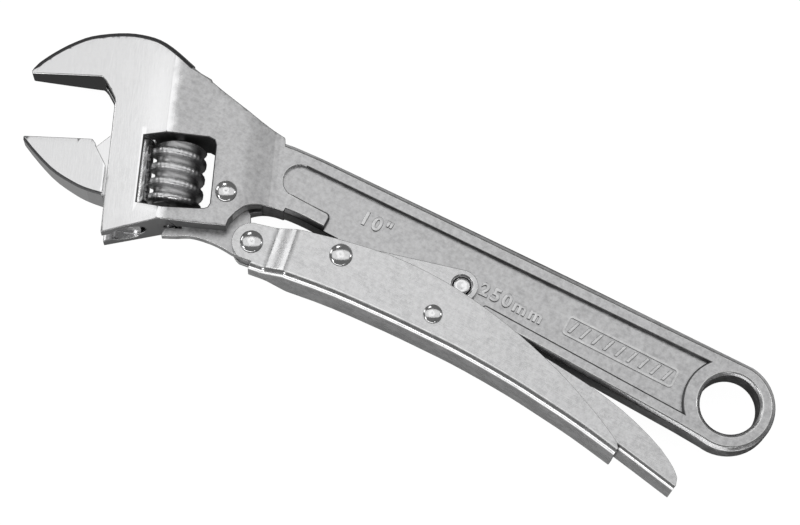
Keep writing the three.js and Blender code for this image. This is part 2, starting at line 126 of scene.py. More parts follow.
# ------------------------------------------------------------------ node helpers
class Wiring:
    """A node tree with short calls for adding and joining nodes."""

    def __init__(self, tree: bpy.types.NodeTree) -> None:
        """Keeps the tree that nodes are added to."""
        self.tree = tree

    def add(self, kind: str, inputs: dict | None = None, **settings: object) -> bpy.types.Node:
        """Adds a node.

        Args:
            kind: the node's type name.
            inputs: values or sockets by input name or number.
            settings: attributes to set on the node.

        Returns:
            The new node.
        """
        node = self.tree.nodes.new(kind)
        for name, value in settings.items():
            setattr(node, name, value)
        for key, value in (inputs or {}).items():
            self.feed(node.inputs[key], value)
        return node

    def feed(self, socket: bpy.types.NodeSocket, value: object) -> None:
        """Joins a socket to an output, or sets its value.

        Args:
            socket: the input that is fed.
            value: an output socket, or a plain value.
        """
        if isinstance(value, bpy.types.NodeSocket):
            self.tree.links.new(value, socket)
        else:
            socket.default_value = value

    def math(self, operation: str, a: object, b: object = 0.0,
             clamp: bool = False) -> bpy.types.NodeSocket:
        """Joins two numbers with a Math node.

        Args:
            operation: the Math node's operation.
            a: first number or socket.
            b: second number or socket.
            clamp: whether the result stays from 0 to 1.

        Returns:
            The result's socket.
        """
        return self.add("ShaderNodeMath", {0: a, 1: b}, operation=operation, use_clamp=clamp).outputs[0]

    def spread(self, value: object, low: float, high: float, to_low: float = 0.0,
               to_high: float = 1.0) -> bpy.types.NodeSocket:
        """Maps a range smoothly onto another.

        Args:
            value: the number or socket that is mapped.
            low: value that becomes to_low.
            high: value that becomes to_high.
            to_low: result at low.
            to_high: result at high.

        Returns:
            The result's socket.
        """
        sockets = {"Value": value, "From Min": low, "From Max": high,
                   "To Min": to_low, "To Max": to_high}
        node = self.add("ShaderNodeMapRange", sockets, interpolation_type="SMOOTHSTEP")
        return node.outputs["Result"]

    def mix(self, share: object, a: object, b: object) -> bpy.types.NodeSocket:
        """Mixes two numbers by a share.

        Args:
            share: 0 for a, 1 for b.
            a: first number or socket.
            b: second number or socket.

        Returns:
            The mixed number's socket.
        """
        node = self.add("ShaderNodeMix", {0: share, 2: a, 3: b}, data_type="FLOAT")
        return node.outputs[0]

    def mix_colour(self, share: object, a: object, b: object) -> bpy.types.NodeSocket:
        """Mixes two colours by a share.

        Args:
            share: 0 for a, 1 for b.
            a: first colour or socket.
            b: second colour or socket.

        Returns:
            The mixed colour's socket.
        """
        ends = [(*c, 1.0) if isinstance(c, tuple) else c for c in (a, b)]
        node = self.add("ShaderNodeMix", {0: share, 6: ends[0], 7: ends[1]}, data_type="RGBA")
        return node.outputs[2]


class SurfaceEffects:
    """Node groups that more than one finish uses, each built once."""

    def __init__(self) -> None:
        """Builds the groups."""
        self.grain = self.blasted_grain()
        self.scratches = self.fine_scratches()
        self.wear = self.edge_wear()
        self.zone = self.ground_zone()

    @staticmethod
    def start(name: str, inputs: Iterable[tuple[str, str]], outputs: Iterable[tuple[str, str]]
              ) -> tuple[bpy.types.NodeTree, Wiring, bpy.types.Node, bpy.types.Node]:
        """Starts a group with its named sockets.

        Args:
            name: the group's name.
            inputs: (name, socket type) of each input.
            outputs: (name, socket type) of each output.

        Returns:
            The group, its wiring, its input node and its output node.
        """
        tree = bpy.data.node_groups.new(name, "ShaderNodeTree")
        for label, kind in inputs:
            tree.interface.new_socket(label, in_out="INPUT", socket_type=kind)
        for label, kind in outputs:
            tree.interface.new_socket(label, in_out="OUTPUT", socket_type=kind)
        wires = Wiring(tree)
        return tree, wires, wires.add("NodeGroupInput"), wires.add("NodeGroupOutput")

    def blasted_grain(self) -> bpy.types.NodeTree:
        """Fine mottled grain with soft clouds and small pits.

        Returns:
            The node group.
        """
        number = "NodeSocketFloat"
        tree, w, given, out = self.start(
            "blasted_grain",
            [("Vector", "NodeSocketVector"), ("Grain Scale", number), ("Cloud Scale", number),
             ("Pits", number)],
            [("Tone", number), ("Roughness", number), ("Height", number)],
        )
        place = given.outputs["Vector"]
        fine = w.add("ShaderNodeTexNoise", {"Vector": place, "Scale": given.outputs["Grain Scale"],
                                            "Detail": 5.0, "Roughness": 0.65})
        clouds = w.add("ShaderNodeTexNoise", {"Vector": place, "Scale": given.outputs["Cloud Scale"],
                                              "Detail": 4.0, "Roughness": 0.6})
        pit_scale = w.math("MULTIPLY", given.outputs["Grain Scale"], 0.42)
        cells = w.add("ShaderNodeTexVoronoi", {"Vector": place, "Scale": pit_scale, "Randomness": 1.0})
        fine_tone = w.spread(fine.outputs["Fac"], 0.3, 0.7)
        cloud_tone = w.spread(clouds.outputs["Fac"], 0.32, 0.68)
        pit = w.spread(cells.outputs["Distance"], 0.08, 0.26, 1.0, 0.0)
        sparse = w.math("MULTIPLY", pit, w.spread(clouds.outputs["Fac"], 0.48, 0.66))
        pits = w.math("MULTIPLY", sparse, given.outputs["Pits"])
        tone = w.math("ADD", w.math("MULTIPLY", fine_tone, 0.55), w.math("MULTIPLY", cloud_tone, 0.45))
        w.feed(out.inputs["Tone"], w.math("SUBTRACT", tone, w.math("MULTIPLY", pits, 0.35), clamp=True))
        rough = w.math("ADD", w.math("MULTIPLY", fine_tone, 0.35), w.math("MULTIPLY", cloud_tone, 0.65))
        w.feed(out.inputs["Roughness"], rough)
        w.feed(out.inputs["Height"], w.math("SUBTRACT", fine.outputs["Fac"], w.math("MULTIPLY", pits, 0.7)))
        return tree

    def fine_scratches(self) -> bpy.types.NodeTree:
        """Long thin grinding lines, with some finer ones across them.

        Returns:
            The node group.
        """
        number = "NodeSocketFloat"
        tree, w, given, out = self.start(
            "fine_scratches",
            [("Vector", "NodeSocketVector"), ("Density", number), ("Across", number)],
            [("Mask", number), ("Height", number)],
        )
        layers = []
        for turn, stretch in ((0.0, 0.035), (0.42, 0.05)):
            turned = w.add("ShaderNodeMapping", {"Vector": given.outputs["Vector"],
                                                 "Rotation": (0.0, 0.0, turn),
                                                 "Scale": (1.0, stretch, 1.0)})
            lines = w.add("ShaderNodeTexNoise", {"Vector": turned.outputs["Vector"], "Detail": 3.0,
                                                 "Scale": given.outputs["Density"], "Roughness": 0.7})
            layers.append(lines.outputs["Fac"])
        main = w.spread(layers[0], 0.35, 0.65)
        crossed = w.math("MULTIPLY", w.spread(layers[1], 0.58, 0.7), given.outputs["Across"])
        w.feed(out.inputs["Mask"], w.math("MAXIMUM", main, crossed))
        w.feed(out.inputs["Height"], w.math("SUBTRACT", layers[0], w.math("MULTIPLY", crossed, 0.4)))
        return tree

    def edge_wear(self) -> bpy.types.NodeTree:
        """Brightened, rubbed edges that break up along their length.

        Returns:
            The node group.
        """
        number = "NodeSocketFloat"
        tree, w, given, out = self.start(
            "edge_wear",
            [("Vector", "NodeSocketVector"), ("Edge", number), ("Amount", number)],
            [("Mask", number)],
        )
        broken = w.add("ShaderNodeTexNoise",
                       {"Vector": given.outputs["Vector"], "Scale": 420.0, "Detail": 4.0})
        kept = w.spread(broken.outputs["Fac"], 0.3, 0.62, 0.35, 1.0)
        on_edge = w.math("MULTIPLY", given.outputs["Edge"], kept)
        w.feed(out.inputs["Mask"], w.math("MULTIPLY", on_edge, given.outputs["Amount"], clamp=True))
        return tree

    def ground_zone(self) -> bpy.types.NodeTree:
        """Where the polishing belt has reached, fading out along the vector's X.

        Returns:
            The node group.
        """
        number = "NodeSocketFloat"
        tree, w, given, out = self.start(
            "ground_zone",
            [("Vector", "NodeSocketVector"), ("Limit", number), ("Fade", number)],
            [("Mask", number)],
        )
        across = w.add("ShaderNodeSeparateXYZ", {"Vector": given.outputs["Vector"]}).outputs["X"]
        ragged = w.add("ShaderNodeTexNoise",
                       {"Vector": given.outputs["Vector"], "Scale": 260.0, "Detail": 5.0})
        jitter = w.math("MULTIPLY", w.math("SUBTRACT", ragged.outputs["Fac"], 0.5), given.outputs["Fade"])
        past = w.math("SUBTRACT", w.math("ADD", across, jitter), given.outputs["Limit"])
        share = w.math("DIVIDE", past, given.outputs["Fade"])
        w.feed(out.inputs["Mask"], w.spread(share, 0.0, 1.0, 1.0, 0.0))
        return tree


@dataclass(frozen=True)
class SteelFinish:
    """One way the steel is finished: its tones, gloss, grain and lines."""

    name: str
    slot: Slot
    dark: Colour
    light: Colour
    smooth: float
    rough: float
    grain_mm: float
    cloud_mm: float
    pits: float
    relief: float
    line_mm: float
    line_share: float
    line_turn: float
    wear: float

    def layer(self, w: Wiring, effects: SurfaceEffects) -> tuple[object, object, object]:
        """Adds this finish's nodes to a material.

        Args:
            w: the material's wiring.
            effects: the shared groups.

        Returns:
            Sockets for the colour, the roughness and the height.
        """
        place = w.add("ShaderNodeTexCoord").outputs["Object"]
        turned = w.add("ShaderNodeMapping", {"Vector": place, "Rotation": (0.0, 0.0, -self.line_turn)})
        along = turned.outputs["Vector"]
        grain = w.add("ShaderNodeGroup", node_tree=effects.grain)
        for name, value in (("Vector", place), ("Grain Scale", 1.0 / (self.grain_mm * MM)),
                            ("Cloud Scale", 1.0 / (self.cloud_mm * MM)), ("Pits", self.pits)):
            w.feed(grain.inputs[name], value)
        lines = w.add("ShaderNodeGroup", node_tree=effects.scratches)
        for name, value in (("Vector", along), ("Density", 1.0 / (self.line_mm * MM)), ("Across", 0.6)):
            w.feed(lines.inputs[name], value)
        tone = w.mix(self.line_share, grain.outputs["Tone"], lines.outputs["Mask"])
        colour = w.mix_colour(tone, self.dark, self.light)
        gloss = w.mix(self.line_share, grain.outputs["Roughness"], lines.outputs["Mask"])
        roughness = w.mix(gloss, self.smooth, self.rough)
        height = w.mix(self.line_share, grain.outputs["Height"], lines.outputs["Height"])
        return colour, roughness, height

    def material(self, effects: SurfaceEffects) -> bpy.types.Material:
        """Builds this finish's material.

        Args:
            effects: the shared groups.

        Returns:
            The material.
        """
        material = bpy.data.materials.new(self.name)
        material.use_nodes = True
        w = Wiring(material.node_tree)
        colour, roughness, height = self.layer(w, effects)
        dress_surface(w, material, effects, Surface(colour, roughness, height, self.wear, self.relief))
        return material


@dataclass(frozen=True)
class Surface:
    """What a material's last nodes need to know of the surface."""

    colour: object
    roughness: object
    height: object
    wear: float
    relief: float


WORN: Colour = (0.80, 0.80, 0.80)
WORN_ROUGHNESS = 0.16
# Near black colour of the painted shade, which on some unplated walls also stands for dark scale.
SHADE_AND_SCALE_DARK: Colour = (0.07, 0.07, 0.072)
SCALE_ROUGHNESS = 0.5
GRAIN_DEPTH_MM = 0.06


def dress_surface(w: Wiring, material: bpy.types.Material, effects: SurfaceEffects,
                  surface: Surface) -> None:
    """Adds worn edges and painted shade, which on some unplated walls also stands for dark scale, and feeds
    the shader.

    Args:
        w: the material's wiring.
        material: the material being built.
        effects: the shared groups.
        surface: its colour, roughness, height and amounts.
    """
    shader = next(n for n in material.node_tree.nodes if n.type == "BSDF_PRINCIPLED")
    place = w.add("ShaderNodeTexCoord").outputs["Object"]
    edge = w.add("ShaderNodeAttribute", attribute_name=EDGE_LAYER).outputs["Fac"]
    shade_and_scale = w.add("ShaderNodeAttribute", attribute_name=SHADE_AND_SCALE_LAYER).outputs["Fac"]
    wear = w.add("ShaderNodeGroup", node_tree=effects.wear)
    for name, value in (("Vector", place), ("Edge", edge), ("Amount", surface.wear)):
        w.feed(wear.inputs[name], value)
    rubbed = w.mix_colour(wear.outputs["Mask"], surface.colour, WORN)
    # Painted shade: the layer's share mixes the colour towards near black.
    w.feed(shader.inputs["Base Color"], w.mix_colour(shade_and_scale, rubbed, SHADE_AND_SCALE_DARK))
    smoother = w.mix(wear.outputs["Mask"], surface.roughness, WORN_ROUGHNESS)
    w.feed(shader.inputs["Roughness"], w.mix(shade_and_scale, smoother, SCALE_ROUGHNESS))
    bump = w.add("ShaderNodeBump", {"Height": surface.height, "Strength": surface.relief,
                                    "Distance": GRAIN_DEPTH_MM * MM})
    w.feed(shader.inputs["Normal"], bump.outputs["Normal"])
    shader.inputs["Metallic"].default_value = 1.0


PLATED = SteelFinish("blasted_plating", Slot.PLATED, dark=(0.38, 0.38, 0.384), light=(0.80, 0.80, 0.805),
                     smooth=0.27, rough=0.45, grain_mm=1.5, cloud_mm=4.2, pits=0.8, relief=0.5,
                     line_mm=0.5, line_share=0.12, line_turn=math.radians(90), wear=0.85)
POLISHED = SteelFinish("belt_polished", Slot.POLISHED, dark=(0.80, 0.80, 0.805), light=(0.92, 0.92, 0.925),
                       smooth=0.09, rough=0.2, grain_mm=0.9, cloud_mm=9.0, pits=0.1, relief=0.05,
                       line_mm=0.16, line_share=0.6, line_turn=math.radians(22.5), wear=0.3)
PRESSED = SteelFinish("pressed_plating", Slot.PRESSED, dark=(0.44, 0.44, 0.444), light=(0.82, 0.82, 0.825),
                      smooth=0.2, rough=0.38, grain_mm=1.3, cloud_mm=5.0, pits=0.6, relief=0.38,
                      line_mm=0.4, line_share=0.2, line_turn=math.radians(90), wear=0.9)
THREAD = SteelFinish("rolled_thread", Slot.THREAD, dark=(0.66, 0.66, 0.665), light=(0.95, 0.95, 0.955),
                     smooth=0.24, rough=0.46, grain_mm=0.6, cloud_mm=2.5, pits=0.6, relief=0.6,
                     line_mm=0.3, line_share=0.2, line_turn=math.radians(22.5), wear=0.6)
RIVETED = SteelFinish("peened_rivet", Slot.RIVET, dark=(0.66, 0.66, 0.665), light=(0.88, 0.88, 0.885),
                      smooth=0.06, rough=0.17, grain_mm=0.7, cloud_mm=2.0, pits=0.5, relief=0.35,
                      line_mm=0.3, line_share=0.2, line_turn=0.0, wear=0.3)
SPRUNG = SteelFinish("spring_wire", Slot.SPRING, dark=(0.28, 0.28, 0.29), light=(0.52, 0.52, 0.53),
                     smooth=0.2, rough=0.36, grain_mm=0.3, cloud_mm=1.5, pits=0.2, relief=0.3,
                     line_mm=0.2, line_share=0.4, line_turn=0.0, wear=0.2)


@dataclass(frozen=True)
class ForgedHeadFinish:
    """Blasted plating whose jaw end is belt-polished up to a ridge."""

    base: SteelFinish = PLATED
    polished: SteelFinish = POLISHED
    limit_mm: float = -1.2
    fade_mm: float = 4.0
    polished_relief: float = 0.1
    slot: Slot = Slot.PLATED

    def material(self, effects: SurfaceEffects) -> bpy.types.Material:
        """Builds the two-zone material.

        Args:
            effects: the shared groups.

        Returns:
            The material.
        """
        material = bpy.data.materials.new("forged_body")
        material.use_nodes = True
        w = Wiring(material.node_tree)
        base = self.base.layer(w, effects)
        polished = self.polished.layer(w, effects)
        place = w.add("ShaderNodeTexCoord").outputs["Object"]
        centred = w.add("ShaderNodeVectorMath", {0: place, 1: -AXES.head_at(0.0, 0.0)}, operation="ADD")
        along_jaws = w.add("ShaderNodeMapping", {"Vector": centred.outputs[0],
                                                 "Rotation": (0.0, 0.0, -AXES.jaw_angle)})
        zone = w.add("ShaderNodeGroup", node_tree=effects.zone)
        for name, value in (("Vector", along_jaws.outputs["Vector"]), ("Limit", self.limit_mm * MM),
                            ("Fade", self.fade_mm * MM)):
            w.feed(zone.inputs[name], value)
        share = zone.outputs["Mask"]
        surface = Surface(
            colour=w.mix_colour(share, base[0], polished[0]),
            roughness=w.mix(share, base[1], polished[1]),
            height=w.mix(share, base[2], w.math("MULTIPLY", polished[2], self.polished_relief)),
            wear=self.base.wear,
            relief=self.base.relief,
        )
        dress_surface(w, material, effects, surface)
        return material


class Finishes:
    """Every material, made once and handed out by finish."""

    def __init__(self) -> None:
        """Makes the shared groups and an empty store."""
        self.effects = SurfaceEffects()
        self.made: dict[str, bpy.types.Material] = {}

    def get(self, finish: SteelFinish | ForgedHeadFinish) -> bpy.types.Material:
        """The material of a finish, built on first use.

        Args:
            finish: the finish.

        Returns:
            Its material.
        """
        key = repr(finish)
        if key not in self.made:
            self.made[key] = finish.material(self.effects)
        return self.made[key]


# ------------------------------------------------------------------ mesh helpers
def merged_copy(node: str, weld_mm: float = 0.0) -> BMesh:
    """A CAD node's shape as one welded mesh with whole flat faces.

    Args:
        node: the CAD node's name.
        weld_mm: corners closer than this are joined afterwards, in millimetres.

    Returns:
        The mesh, with empty layers for worn edges, painted shade and scale, and rounding.
    """
    shape = bmesh.new()
    shape.from_mesh(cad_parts[node].data)
    bmesh.ops.remove_doubles(shape, verts=shape.verts, dist=WELD)
    bmesh.ops.dissolve_limit(shape, angle_limit=FLAT_ANGLE, verts=shape.verts, edges=shape.edges,
                             delimit={"NORMAL"})
    if weld_mm:
        bmesh.ops.remove_doubles(shape, verts=shape.verts, dist=weld_mm * MM)
    add_layers(shape)
    return shape


def add_layers(shape: BMesh) -> None:
    """Gives a mesh its layers for worn edges, painted shade and scale, and rounding."""
    for name in (EDGE_LAYER, SHADE_AND_SCALE_LAYER, ROUND_LAYER):
        shape.faces.layers.float.new(name)


def is_sharp(edge: BMEdge, degrees: float = 30.0) -> bool:
    """Whether an edge's two faces turn by more than some degrees."""
    return len(edge.link_faces) == 2 and edge.calc_face_angle(0.0) > math.radians(degrees)


def is_outer_corner(edge: BMEdge) -> bool:
    """Whether an edge is sharp and sticks out, so that rounding it only takes steel away."""
    return is_sharp(edge) and edge.is_convex


def soften(shape: BMesh, radius_mm: float, wanted: EdgeTest = is_outer_corner, segments: int = 2,
           edge_share: float = 1.0, shade_share: float = 0.0) -> None:
    """Rounds edges over and marks the new faces as edge.

    Args:
        shape: the mesh that is changed.
        radius_mm: width of the rounding in millimetres.
        wanted: which edges to round.
        segments: steps across the rounding.
        edge_share: value written to the edge layer.
        shade_share: value written to the painted shade layer.
    """
    edges = [e for e in shape.edges if wanted(e)]
    if not edges:
        return
    made = bmesh.ops.bevel(shape, geom=edges, offset=radius_mm * MM, offset_type="OFFSET", affect="EDGES",
                           segments=segments, profile=0.5, material=-1, clamp_overlap=False)
    layer = shape.faces.layers.float[EDGE_LAYER]
    shade_and_scale = shape.faces.layers.float[SHADE_AND_SCALE_LAYER]
    rounded = shape.faces.layers.float[ROUND_LAYER]
    for face in made["faces"]:
        face[layer], face[shade_and_scale], face[rounded] = edge_share, shade_share, 1.0


def paint_shade_and_scale(shape: BMesh, wanted: FaceTest, share: float) -> None:
    """Writes a share of painted shade, which on unplated walls also stands for dark scale, to some faces.

    Args:
        shape: the mesh.
        wanted: which faces to mark.
        share: 0 for none, 1 for near black painted shade or dark unplated scale.
    """
    layer = shape.faces.layers.float[SHADE_AND_SCALE_LAYER]
    for face in shape.faces:
        if wanted(face):
            face[layer] = share


def cut_faces(shape: BMesh, wanted: FaceTest, cuts: Iterable[tuple[Vector, Vector]]) -> None:
    """Cuts some faces into a grid, leaving rounded edges whole.

    Args:
        shape: the mesh that is changed.
        wanted: which faces are cut.
        cuts: (point, normal) of each cutting plane.
    """
    rounded = shape.faces.layers.float[ROUND_LAYER]
    for point, normal in cuts:
        faces = [f for f in shape.faces if f[rounded] == 0.0 and wanted(f)]
        geometry = list(dict.fromkeys(part for f in faces for part in (f, *f.edges, *f.verts)))
        bmesh.ops.bisect_plane(shape, geom=geometry, dist=WELD, plane_co=point, plane_no=normal)


def between(points: list[Flat], at: float) -> float:
    """Value at a place on a line through sorted points.

    Args:
        points: (place, value) in order of place.
        at: the place.

    Returns:
        The value, held level past either end.
    """
    if at <= points[0][0]:
        return points[0][1]
    for (x0, y0), (x1, y1) in zip(points, points[1:]):
        if at <= x1:
            return y0 + (y1 - y0) * (at - x0) / max(x1 - x0, WELD)
    return points[-1][1]


def turned_shape(profile: Iterable[Flat], steps: int = 48) -> BMesh:
    """Spins a profile of (radius, height) millimetres about the Z axis.

    Args:
        profile: points from bottom to top, the first and last on the axis, or a closed ring.
        steps: steps round the axis.

    Returns:
        A closed mesh about the origin, in metres.
    """
    shape = bmesh.new()
    verts = [shape.verts.new((r * MM, 0.0, z * MM)) for r, z in profile]
    pairs = list(zip(verts, verts[1:]))
    if verts[0].co.x > WELD:
        pairs.append((verts[-1], verts[0]))
    edges = [shape.edges.new(pair) for pair in pairs]
    bmesh.ops.spin(shape, geom=verts + edges, cent=(0.0, 0.0, 0.0), axis=(0.0, 0.0, 1.0), angle=math.tau,
                   steps=steps, use_merge=True, use_duplicate=False)
    bmesh.ops.remove_doubles(shape, verts=shape.verts, dist=WELD)
    bmesh.ops.dissolve_degenerate(shape, edges=shape.edges, dist=WELD)
    bmesh.ops.recalc_face_normals(shape, faces=shape.faces)
    add_layers(shape)
    return shape


def place_shape(shape: BMesh, at: Vector, axis: Vector | None = None) -> None:
    """Moves a mesh made about the origin to its place.

    Args:
        shape: the mesh that is moved.
        at: where its origin goes.
        axis: where its Z axis points, or None for straight up.
    """
    turn = Matrix.Identity(4) if axis is None else axis.to_track_quat("Z", "Y").to_matrix().to_4x4()
    bmesh.ops.transform(shape, matrix=Matrix.Translation(at) @ turn, verts=shape.verts)


def finished_piece(name: str, shape: BMesh, material: bpy.types.Material, body: str,
                   replaces: Iterable[str] = (), even: bool = True) -> bpy.types.Object:
    """Turns a mesh into a shown piece that rides on a body.

    Args:
        name: the piece's name.
        shape: its mesh, which is used up.
        material: what it is made of.
        body: the CAD body that it moves with.
        replaces: the CAD nodes that it stands for.
        even: whether large faces keep level shading beside their rounded edges.

    Returns:
        The new object.
    """
    for face in shape.faces:
        face.smooth = True
    for edge in shape.edges:
        edge.smooth = not is_sharp(edge, SHADING_BREAK)
    mesh = bpy.data.meshes.new(name)
    shape.to_mesh(mesh)
    shape.free()
    mesh.materials.append(material)
    piece = bpy.data.objects.new(name, mesh)
    bpy.context.scene.collection.objects.link(piece)
    if even:
        shading = piece.modifiers.new("even_shading", "WEIGHTED_NORMAL")
        shading.keep_sharp = True
    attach(piece, body)
    if replaces:
        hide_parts(*replaces)
    LOG.info("%s: %d faces on %s", name, len(mesh.polygons), body)
    return piece


def grid_cuts(origin: Vector, along: Vector, positions: Iterable[float]) -> list[tuple[Vector, Vector]]:
    """Cutting planes across a direction.

    Args:
        origin: where positions count from.
        along: the planes' normal.
        positions: distances along it in millimetres.

    Returns:
        (point, normal) of each plane.
    """
    return [(origin + along * (p * MM), along) for p in positions]


def steps_between(low: float, high: float, step: float) -> list[float]:
    """Evenly spaced numbers from low to high."""
    count = max(1, round((high - low) / step))
    return [low + (high - low) * i / count for i in range(count + 1)]


def eased(share: float) -> float:
    """Smooth step of a share held from 0 to 1."""
    k = min(max(share, 0.0), 1.0)
    return k * k * (3.0 - 2.0 * k)


# ------------------------------------------------------------------ head and handle
@dataclass
class ForgedHead:
    """The wedge shape that the frame's head and the movable jaw share."""

    ridge_half: float = 9.0
    shank_half: float = 8.0
    handle_half: float = 5.0
    jaw_slope: float = 0.075
    jaw_curve: float = 0.00095
    shank_slope: float = 0.09
    blend_from: float = 23.0
    blend_to: float = 35.0
    ridge_round: float = 1.6
    lowest: float = 5.02
    rail_from: float = -18.3
    tip_lowest: float = 3.3
    edge_depth: float = 1.95
    cut_along: float = 1.5
    cut_across: float = 4.0

    def half_thickness(self, s: float) -> float:
        """Half thickness in millimetres at a distance from the ridge.

        Args:
            s: distance along the jaw faces in millimetres.

        Returns:
            The half thickness.
        """
        if s < 0.0:
            return self.ridge_half + self.jaw_slope * s - self.jaw_curve * s * s
        behind = max(self.ridge_half - self.shank_slope * s, self.shank_half)
        share = eased((s - self.blend_from) / (self.blend_to - self.blend_from))
        return behind + (self.handle_half - behind) * share

    def rounded_half(self, s: float) -> float:
        """Half thickness with the ridge rounded over.

        Args:
            s: distance along the jaw faces in millimetres.

        Returns:
            The half thickness in millimetres.
        """
        reach = self.ridge_round
        if abs(s) < reach:
            low, high = self.half_thickness(-reach), self.half_thickness(reach)
            share = (s + reach) / (2.0 * reach)
            bulge = (self.jaw_slope + self.shank_slope) * reach * share * (1.0 - share)
            return low + (high - low) * share + bulge
        return self.half_thickness(s)

    def is_broad_face(self, face: BMFace) -> bool:
        """Whether a face is part of the head's front or rear surface.

        Args:
            face: the face.

        Returns:
            True for the broad surfaces.
        """
        s, _, z = AXES.head_size(face.calc_center_median())
        outward = face.normal.z * z > 0.0 and abs(face.normal.z) > 0.85
        return outward and (abs(z) > self.lowest or (s < self.rail_from and abs(z) > self.tip_lowest))

    def is_jaw_face(self, face: BMFace) -> bool:
        """Whether a face is part of the broad surface in front of the movable jaw's rail."""
        return self.is_broad_face(face) and AXES.head_size(face.calc_center_median()).x < self.rail_from

    def facets(self, shape: BMesh, wanted: FaceTest) -> list[Flat]:
        """The wedge's own outline before it is refined.

        Args:
            shape: the mesh, before its edges are rounded.
            wanted: which faces are broad.

        Returns:
            (s, half thickness) in millimetres, in order of s.
        """
        places = [AXES.head_size(v.co) for f in shape.faces if wanted(f) for v in f.verts]
        return sorted(dict(sorted((round(p.x, 2), abs(p.z)) for p in places)).items())

    def grade(self, shape: BMesh, wanted: FaceTest, facets: list[Flat], s_range: Flat,
              t_range: Flat) -> None:
        """Turns the faceted wedge and its rounded edges into the smooth one.

        Args:
            shape: the mesh that is changed.
            wanted: which faces are broad.
            facets: the outline from before its edges were rounded.
            s_range: first and last cut along s in millimetres.
            t_range: first and last cut along t in millimetres.
        """
        rounded = shape.faces.layers.float[ROUND_LAYER]
        broad = {f for f in shape.faces if f[rounded] == 0.0 and wanted(f)}
        inner = [e for e in shape.edges if broad.issuperset(e.link_faces) and not is_sharp(e, 8.0)]
        bmesh.ops.dissolve_edges(shape, edges=inner, use_verts=False, use_face_split=False)
        origin = AXES.head_at(0.0, 0.0)
        near_ridge = (-0.53, 0.53, 1.13, -1.13)
        cuts = grid_cuts(origin, AXES.along_s, steps_between(*s_range, self.cut_along))
        cuts += grid_cuts(origin, AXES.along_s, near_ridge)
        cuts += grid_cuts(origin, AXES.along_t, steps_between(*t_range, self.cut_across))
        cut_faces(shape, wanted, cuts)
        for vert in shape.verts:
            s, _, z = AXES.head_size(vert.co)
            facet = between(facets, s)
            if s_range[0] < s < s_range[1] and facet - abs(z) < self.edge_depth:
                vert.co.z += math.copysign(self.rounded_half(s) - facet, z) * MM


